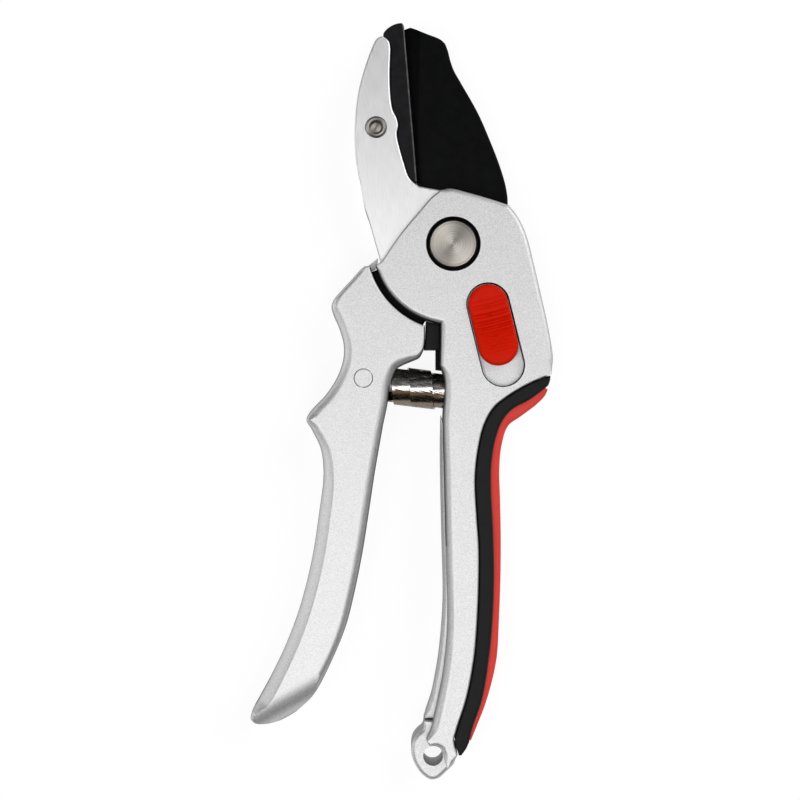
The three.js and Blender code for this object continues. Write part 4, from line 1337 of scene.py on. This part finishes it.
def anvil_handle():
    made = joined(
        slab("anvil_handle_casting", head_outline, 0, front, draft),
        anvil_arm(),
        hanging_eye(),
        inner_lip(),
    )
    cut(
        made,
        *slot_tools(),
        *lock_tools(),
        *pivot_tools(),
        *anvil_tools(),
        bumper_hole(),
        prism(grown(black_outline, clearance), -overrun, front + overrun),
        disc(eye_hole_radius, -overrun, front + overrun, eye_hole_place),
    )
    joined(made, spring_peg(neck_seat, -spring_direction))
    smoothed(made)
    placed(made, "anvil_side", "cast_aluminium", cast, "anvil_handle")
    looks = [cast, sanded, painted_recess_shade, cast_with_lighter_shade]
    for look in looks[1:]:
        made.data.materials.append(look)
    edge = grown(head_outline, clearance)
    rib_edge = grown(neck_rib, clearance)
    recess_radius = bolt_head_radius + head_recess_gap + recess_flare + join_tolerance
    lip_top = handle_thickness * lip_base_share + lip_thickness + join_tolerance
    for face in made.data.polygons:
        centre = face.center / millimetre
        on_arm = centre.y > -linkage_drop / 2 and not inside(edge, centre)
        in_bolt_recess = centre.xy.length < recess_radius and mid < centre.z < front - join_tolerance
        steep = face.normal.z < face_tilt and centre.z > recess_floor
        on_lip = centre.y < -linkage_drop and centre.z < lip_top
        by_eye = (centre.xy - eye_hole_place).length < eye_reach
        if on_arm:
            face.material_index = looks.index(sanded)
        # Painted shade: the walls and floor of the bolt's recess and the steep walls of the slider's
        # recess get the near-black film
        if in_bolt_recess or (steep and in_recess(centre)):
            face.material_index = looks.index(painted_recess_shade)
        # Lighter painted shade on the walls of the lip, round the eye and low on the right handle; their
        # faces stay as they are
        if on_lip or by_eye or centre.y < lighter_wall_shade_start:
            face.material_index = looks.index(cast_with_lighter_shade)
        # Painted shade on the rib behind the neck
        if centre.z < lip_top and inside(rib_edge, centre):
            face.material_index = looks.index(painted_recess_shade)


# Anvil and its fixing

def anvil():
    half = anvil_thickness / 2
    tongue_half = tongue_thickness / 2
    made = slab("anvil_strip", anvil_outline, mid - half, mid + half)
    joined(made, prism(tongue_outline, mid - tongue_half, mid + tongue_half))
    cut(made, disc(screw_radius + clearance, 0, front, screw_place))
    placed(smoothed(made), "anvil_side", "anvil_coating", anvil_black, "anvil")
    made.data.materials.append(anvil_edge_highlight)
    top, foot = anvil_face[0], anvil_face[-1]
    # Painted highlight: faces along the anvil's edge next to the blade, looking towards it, get the
    # lighter coating
    for face in made.data.polygons:
        centre = face.center / millimetre
        edge = top.x + (foot.x - top.x) * (centre.y - top.y) / (foot.y - top.y)
        if centre.x > edge - edge_highlight_width and centre.z > blade_top and face.normal.x > edge_highlight_tilt:
            face.material_index = 1


def anvil_screw():
    face = arm_front + screw_proud
    neck = face - screw_head_height
    foot = arm_back + clearance
    made = turned("anvil_screw_head", [
        (screw_radius, foot), (screw_radius, neck), (screw_head_radius, neck),
        (screw_head_radius, face - screw_head_chamfer),
        (screw_head_radius - screw_head_chamfer, face),
    ], screw_place)
    cut(made, turned("tool", [
        (socket_floor_radius, face - socket_depth), (socket_radius, face),
        (socket_radius, face + overrun),
    ], screw_place))
    placed(smoothed(made), "anvil_side", "bare_steel", screw_steel, "anvil_screw")


def hexagon_nut(name, radius, bottom, height, chamfer, place):
    """A hexagon whose outer corners are turned down at its back."""
    made = prism(disc_outline(radius, place, hex_sides), bottom, bottom + height, name)
    dome = turned("tool", [
        (radius * math.cos(math.pi / hex_sides), bottom - join_tolerance),
        (radius + join_tolerance, bottom + chamfer),
        (radius + join_tolerance, bottom + height + overrun),
    ], place)
    return combined(made, "INTERSECT", [dome])


def anvil_nut():
    made = hexagon_nut(
        "anvil_lock_nut", screw_head_radius, arm_back, anvil_nut_height, screw_head_chamfer, screw_place,
    )
    cut(made, disc(screw_radius + clearance, -overrun, front, screw_place))
    placed(smoothed(made), "anvil_side", "bare_steel", screw_steel, "anvil_nut")


# Blade

def cutting_wedges():
    """The two bevels that leave a thin edge along the anvil's face."""
    face = in_jaw(anvil_face_shares)
    heel = face[-1]
    along = (face[0] - heel).normalized()
    tip = face[0] + along * overrun
    out = Vector((along.y, -along.x))
    slope = (blade_thickness - edge_thickness) / 2 / bevel_width
    near = clearance - overrun
    far = clearance + bevel_width + overrun
    section = [(reach, edge_thickness / 2 + slope * (reach - clearance)) for reach in (near, far)]
    section += [(far, blade_thickness), (near, blade_thickness)]
    wedges = []
    for side in (1, -1):
        rings = []
        for end in (heel, tip):
            places = [end + out * reach for reach, _ in section]
            levels = [mid + side * level for _, level in section]
            ring = [Vector((place.x, place.y, level)) for place, level in zip(places, levels)]
            rings.append(ring if side < 0 else backwards(ring))
        wedges.append(stack("tool", rings))
    return wedges


def blade():
    half = blade_edge_rounding
    points = [Vector((point.x, point.y, half)) for point in blade_outline]
    made = slab("blade_with_tang", points, blade_bottom, blade_top)
    notch_end = slider_top * (slot_radius / slider_top.length)
    cut(
        made,
        disc(bolt_bore + bushing_wall + clearance, 0, front),
        disc(pin_radius + clearance, 0, front, blade_pin_place),
        prism(stadium_outline(slider_top, notch_end, peg_radius + clearance), 0, front),
        *cutting_wedges(),
    )
    placed(smoothed(made), "blade_side", "blade_coating", blade_black, "blade")


def blade_pin():
    made = turned("blade_pin_head", [
        (pin_radius - pin_chamfer, 0), (pin_radius, pin_chamfer),
        (pin_radius, front - pin_chamfer), (pin_radius - pin_chamfer, front),
    ], blade_pin_place)
    placed(smoothed(made), "blade_side", "bare_steel", cast, "blade_pin")


# Blade handle: two cheeks joined round the blade's tang

def tip_fall(side):
    """A tool that lets the front or the back face fall away towards the tip."""
    foot = in_grip([tip_fall_place_share])[0]
    way = polar(1, tip_fall_turn)
    along = Vector((-way.y, way.x)) * grip_length
    outer = mid + side * (mid + overrun)
    fall = [(0, outer)]
    for step in range(tip_fall_steps + 1):
        angle = math.radians(tip_fall_angle) * step / tip_fall_steps
        depth = tip_fall_radius * (1 - math.cos(angle))
        fall.append((tip_fall_radius * math.sin(angle), mid + side * (mid - depth)))
    end_level = fall[-1][1]
    fall.append((tip_fall_reach, end_level))
    fall.append((tip_fall_reach, outer))

    def ring(end):
        places = [foot + way * reach + along * end for reach, _ in fall]
        return [Vector((place.x, place.y, level)) for place, (_, level) in zip(places, fall)]

    return stack("tool", [ring(side), ring(-side)])


def blade_handle():
    inner = in_grip(lever_inner_shares)
    made = slab("blade_handle_casting", outline(
        arc(lever_arc_radius, lever_corner_angle, nose_angle, fine_rounding),
        curve([polar(lever_arc_radius, nose_angle)] + in_head(nose_shares), fine_rounding),
        curve(in_head(lever_under_shares) + inner[:1], *lever_under_roundings),
        curve(inner, *lever_inner_roundings),
        curve(in_grip(lever_tip_shares), palm_rounding, tip_rounding),
        curve(in_grip(lever_back_shares) + in_head(lever_shoulder_shares), *lever_back_roundings),
    ), 0, front, draft)
    tongue = outline(straight(in_head(lever_tongue_shares)))
    joined(made, prism(tongue, blade_bottom, blade_top))
    cut(
        made,
        prism(grown(blade_outline, clearance), blade_bottom - clearance, blade_top + clearance),
        disc(pin_radius + pin_clearance, -overrun, front + overrun, blade_pin_place),
        spring_pocket(),
        tip_fall(1),
        tip_fall(-1),
    )
    joined(made, spring_peg(lever_seat, spring_direction))
    placed(smoothed(made), "blade_side", "cast_aluminium", cast, "blade_handle")


# Pivot

def pivot_bolt():
    neck = front - bolt_head_height
    made = turned("pivot_bolt_head", [
        (bolt_radius, nut_floor + clearance), (bolt_radius, neck), (bolt_head_radius, neck),
        (bolt_head_radius, front - bolt_head_chamfer),
        (bolt_head_radius - bolt_head_chamfer, front),
    ])
    placed(smoothed(made), "anvil_side", "bare_steel", bolt_steel, "pivot_bolt")


def pivot_nut():
    made = hexagon_nut("pivot_cap_nut", nut_radius, 0, nut_height, nut_chamfer, Vector((0, 0)))
    cut(made, disc(bolt_bore, nut_floor, front))
    placed(smoothed(made), "anvil_side", "bare_steel", bolt_steel, "pivot_nut")


# Lock slider: a soft thumb piece with arched ribs

def slider_groove_depth(along, across):
    """How deep the grooves are at a place, measured from the slider's top end."""
    span = (slider_bottom - slider_top).length + 2 * slider_radius
    bent = along + slider_rib_arch * (across / slider_radius) ** 2
    depth = 0
    for share, deep, half in zip(slider_rib_shares, slider_rib_depths, slider_rib_half_widths):
        away = (bent - share * span) / half
        depth += deep * math.exp(-away * away)
    fade = max(0, 1 - (abs(across) / slider_radius) ** slider_fade_power)
    return depth * fade


def slider_ring(inset):
    """A ring of the slider's outline, drawn in by its inset: places and how deep each is cut."""
    radius = slider_radius - inset
    across = Vector((-slide_direction.y, slide_direction.x))
    length = (slider_bottom - slider_top).length
    turn_steps = math.ceil(math.pi * slider_radius / slider_step)
    side_steps = math.ceil(length / slider_step)
    local = []
    for end, side in ((0, -1), (length, 1)):
        for i in range(turn_steps + 1):
            angle = math.pi * i / turn_steps
            local.append((
                end + side * radius * math.sin(angle),
                -side * radius * math.cos(angle),
            ))
        for i in range(1, side_steps):
            step = i if side < 0 else side_steps - i
            local.append((length * step / side_steps, side * radius))
    ring = []
    for along, out in local:
        place = slider_top + slide_direction * along + across * out
        ring.append((place, slider_groove_depth(along + slider_radius, out)))
    return ring


def lock_slider():
    base = recess_floor + clearance
    top = front + slider_proud
    rings = [[Vector((p.x, p.y, base)) for p, _ in slider_ring(0)]]
    for step in range(slider_edge_steps + 1):
        angle = math.pi / 2 * step / slider_edge_steps
        inset = slider_rounding * (1 - math.cos(angle))
        level = top - slider_rounding * (1 - math.sin(angle))
        share = math.sin(angle)
        rings.append([Vector((p.x, p.y, level - d * share)) for p, d in slider_ring(inset)])
    flat_width = slider_radius - slider_rounding - slider_seam
    inner_steps = math.ceil(flat_width / slider_step)
    for step in range(1, inner_steps + 1):
        inset = slider_rounding + flat_width * step / inner_steps
        rings.append([Vector((p.x, p.y, top - d)) for p, d in slider_ring(inset)])
    made = stack("lock_slider_thumb", rings)
    socket_top = base + peg_socket_depth + clearance
    cut(made, disc(peg_radius + clearance, base - overrun, socket_top, slider_top))
    placed(smoothed(made), "lock", "red_plastic", red_plastic, "lock_slider")


# Bumper and grips

def closing_bumper():
    half = bumper_thickness / 2
    made = slab(
        "closing_bumper_block",
        outline(straight(in_head(bumper_shares), fine_rounding)),
        mid - half,
        mid + half,
    )
    past = Vector((overrun, 0))
    reach = Vector((bumper_plug_length, 0))
    joined(made, rod(bumper_plug_radius, bumper_plug_place - past, bumper_plug_place + reach))
    placed(smoothed(made), "anvil_side", "black_rubber", black_rubber, "closing_bumper")


def black_grip():
    made = slab("grip_black_strip", black_outline, 0, front)
    half = red_thickness / 2 + clearance
    cut(made, prism(grown(red_outline, clearance), mid - half, mid + half))
    placed(smoothed(made), "anvil_side", "black_rubber", black_rubber, "grip_black")


def red_grip():
    half = red_thickness / 2
    made = slab("grip_red_strip", red_outline, mid - half, mid + half)
    placed(smoothed(made), "anvil_side", "red_rubber", red_rubber, "grip_red")


# Spring

def spring_sections():
    """Cross-sections of the strip, square to its winding, from the left handle to the right one."""
    steps = strip_turns * strip_facets
    centre = (lever_seat + neck_seat) / 2
    across = Vector((-spring_direction.y, spring_direction.x))
    sections = []
    for i in range(steps + 1):
        turns = (i / steps - 1 / 2) * strip_turns
        angle = 2 * math.pi * turns
        radius = spring_middle_radius - strip_shrink * abs(turns)
        lean = strip_width / 2 * strip_pitch / (2 * math.pi * radius**2)
        section = []
        for out, reach in ((-1, -1), (1, -1), (1, 1), (-1, 1)):
            distance = radius + out * strip_thickness / 2
            place = centre + spring_direction * (strip_pitch * turns + reach * strip_width / 2)
            leaning = angle - reach * lean
            place += across * distance * math.cos(leaning)
            section.append(Vector((place.x, place.y, mid + distance * math.sin(leaning))))
        sections.append(section)
    return sections


def spring():
    made = stack("spring_barrel", [backwards(section) for section in spring_sections()])
    made.data.materials.append(spring_reflection_paint)
    smoothed(made)
    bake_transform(made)
    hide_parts("spring")


def hidden_nodes():
    """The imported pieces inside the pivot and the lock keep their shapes."""
    looks = {
        "pivot_bushing": bronze,
        "pivot_washer_front": bronze,
        "pivot_washer_rear": bronze,
        "lock_peg": plain_steel,
        "lock_retainer": plain_steel,
        "lock_detent_ball": plain_steel,
        "lock_detent_spring": plain_steel,
    }
    for name, look in looks.items():
        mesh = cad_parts[name].data
        mesh.materials.clear()
        mesh.materials.append(look)


# Studio

def floor_look():
    """White with a faint shadow to the camera and in reflections, and plain pale to all else."""
    look, shader = new_material("studio_floor")
    tree = look.node_tree
    shader.inputs["Base Color"].default_value = grey(floor_colour)
    shader.inputs["Roughness"].default_value = 1
    shown = node(tree, "ShaderNodeBsdfDiffuse")
    shown.inputs["Color"].default_value = grey(floor_shadow_share)
    glow = node(tree, "ShaderNodeEmission")
    glow.inputs["Strength"].default_value = floor_glow
    both = tree.nodes.new("ShaderNodeAddShader")
    tree.links.new(shown.outputs[0], both.inputs[0])
    tree.links.new(glow.outputs[0], both.inputs[1])
    path = tree.nodes.new("ShaderNodeLightPath")
    either = node(tree, "ShaderNodeMath", operation="MAXIMUM")
    tree.links.new(path.outputs["Is Camera Ray"], either.inputs[0])
    tree.links.new(path.outputs["Is Glossy Ray"], either.inputs[1])
    seen = node(tree, "ShaderNodeMath", operation="MAXIMUM")
    tree.links.new(either.outputs[0], seen.inputs[0])
    tree.links.new(path.outputs["Is Transmission Ray"], seen.inputs[1])
    mix = tree.nodes.new("ShaderNodeMixShader")
    tree.links.new(seen.outputs[0], mix.inputs["Fac"])
    tree.links.new(shader.outputs[0], mix.inputs[1])
    tree.links.new(both.outputs[0], mix.inputs[2])
    tree.links.new(mix.outputs[0], tree.nodes["Material Output"].inputs["Surface"])
    return look


def studio_floor():
    level = -floor_gap
    corners = [(-1, -1), (1, -1), (1, 1), (-1, 1)]
    places = [(x * floor_reach, y * floor_reach, level) for x, y in corners]
    made = object_of("floor", places, [(0, 1, 2, 3)])
    made.data.materials.append(floor_look())


def area_lamp(name, azimuth, elevation, distance, size, glow):
    """A square lamp that faces the shears, as bright in radiance as its glow."""
    lamp = bpy.data.lights.new(name, "AREA")
    lamp.shape = "SQUARE"
    lamp.size = size * millimetre
    lamp.energy = glow * math.pi * lamp.size**2
    turn = math.radians(azimuth)
    rise = math.radians(elevation)
    way = Vector((
        math.cos(turn) * math.cos(rise),
        math.sin(turn) * math.cos(rise),
        math.sin(rise),
    ))
    made = bpy.data.objects.new(name, lamp)
    middle = Vector((*camera_place, mid))
    made.location = (middle + way * distance) * millimetre
    made.rotation_euler = way.to_track_quat("Z", "Y").to_euler()
    bpy.context.scene.collection.objects.link(made)


def studio():
    world = bpy.data.worlds.new("studio")
    world.use_nodes = True
    tree = world.node_tree
    background = tree.nodes["Background"]
    parts = tree.nodes.new("ShaderNodeSeparateXYZ")
    tree.links.new(tree.nodes.new("ShaderNodeTexCoord").outputs["Generated"], parts.inputs[0])
    rise = mapped(tree, parts.outputs["Z"], *world_rise, *world_glow)
    dusk = mapped(tree, parts.outputs["Y"], *world_turn, world_dusk, 1)
    both = node(tree, "ShaderNodeMath", operation="MULTIPLY")
    tree.links.new(rise, both.inputs[0])
    tree.links.new(dusk, both.inputs[1])
    tree.links.new(both.outputs[0], background.inputs["Strength"])
    bpy.context.scene.world = world
    for name, lamp in lamps.items():
        area_lamp(name, *lamp)
    studio_floor()


def camera():
    data = bpy.data.cameras.new("camera")
    data.lens = camera_lens
    data.sensor_width = camera_sensor
    made = bpy.data.objects.new("camera", data)
    made.location = Vector((*camera_place, front + camera_height)) * millimetre
    bpy.context.scene.collection.objects.link(made)
    bpy.context.scene.camera = made


camera()
studio()
anvil_handle()
anvil()
anvil_screw()
anvil_nut()
blade()
blade_pin()
blade_handle()
pivot_bolt()
pivot_nut()
lock_slider()
closing_bumper()
black_grip()
red_grip()
spring()
hidden_nodes()

bpy.context.scene.view_settings.view_transform = "Standard"
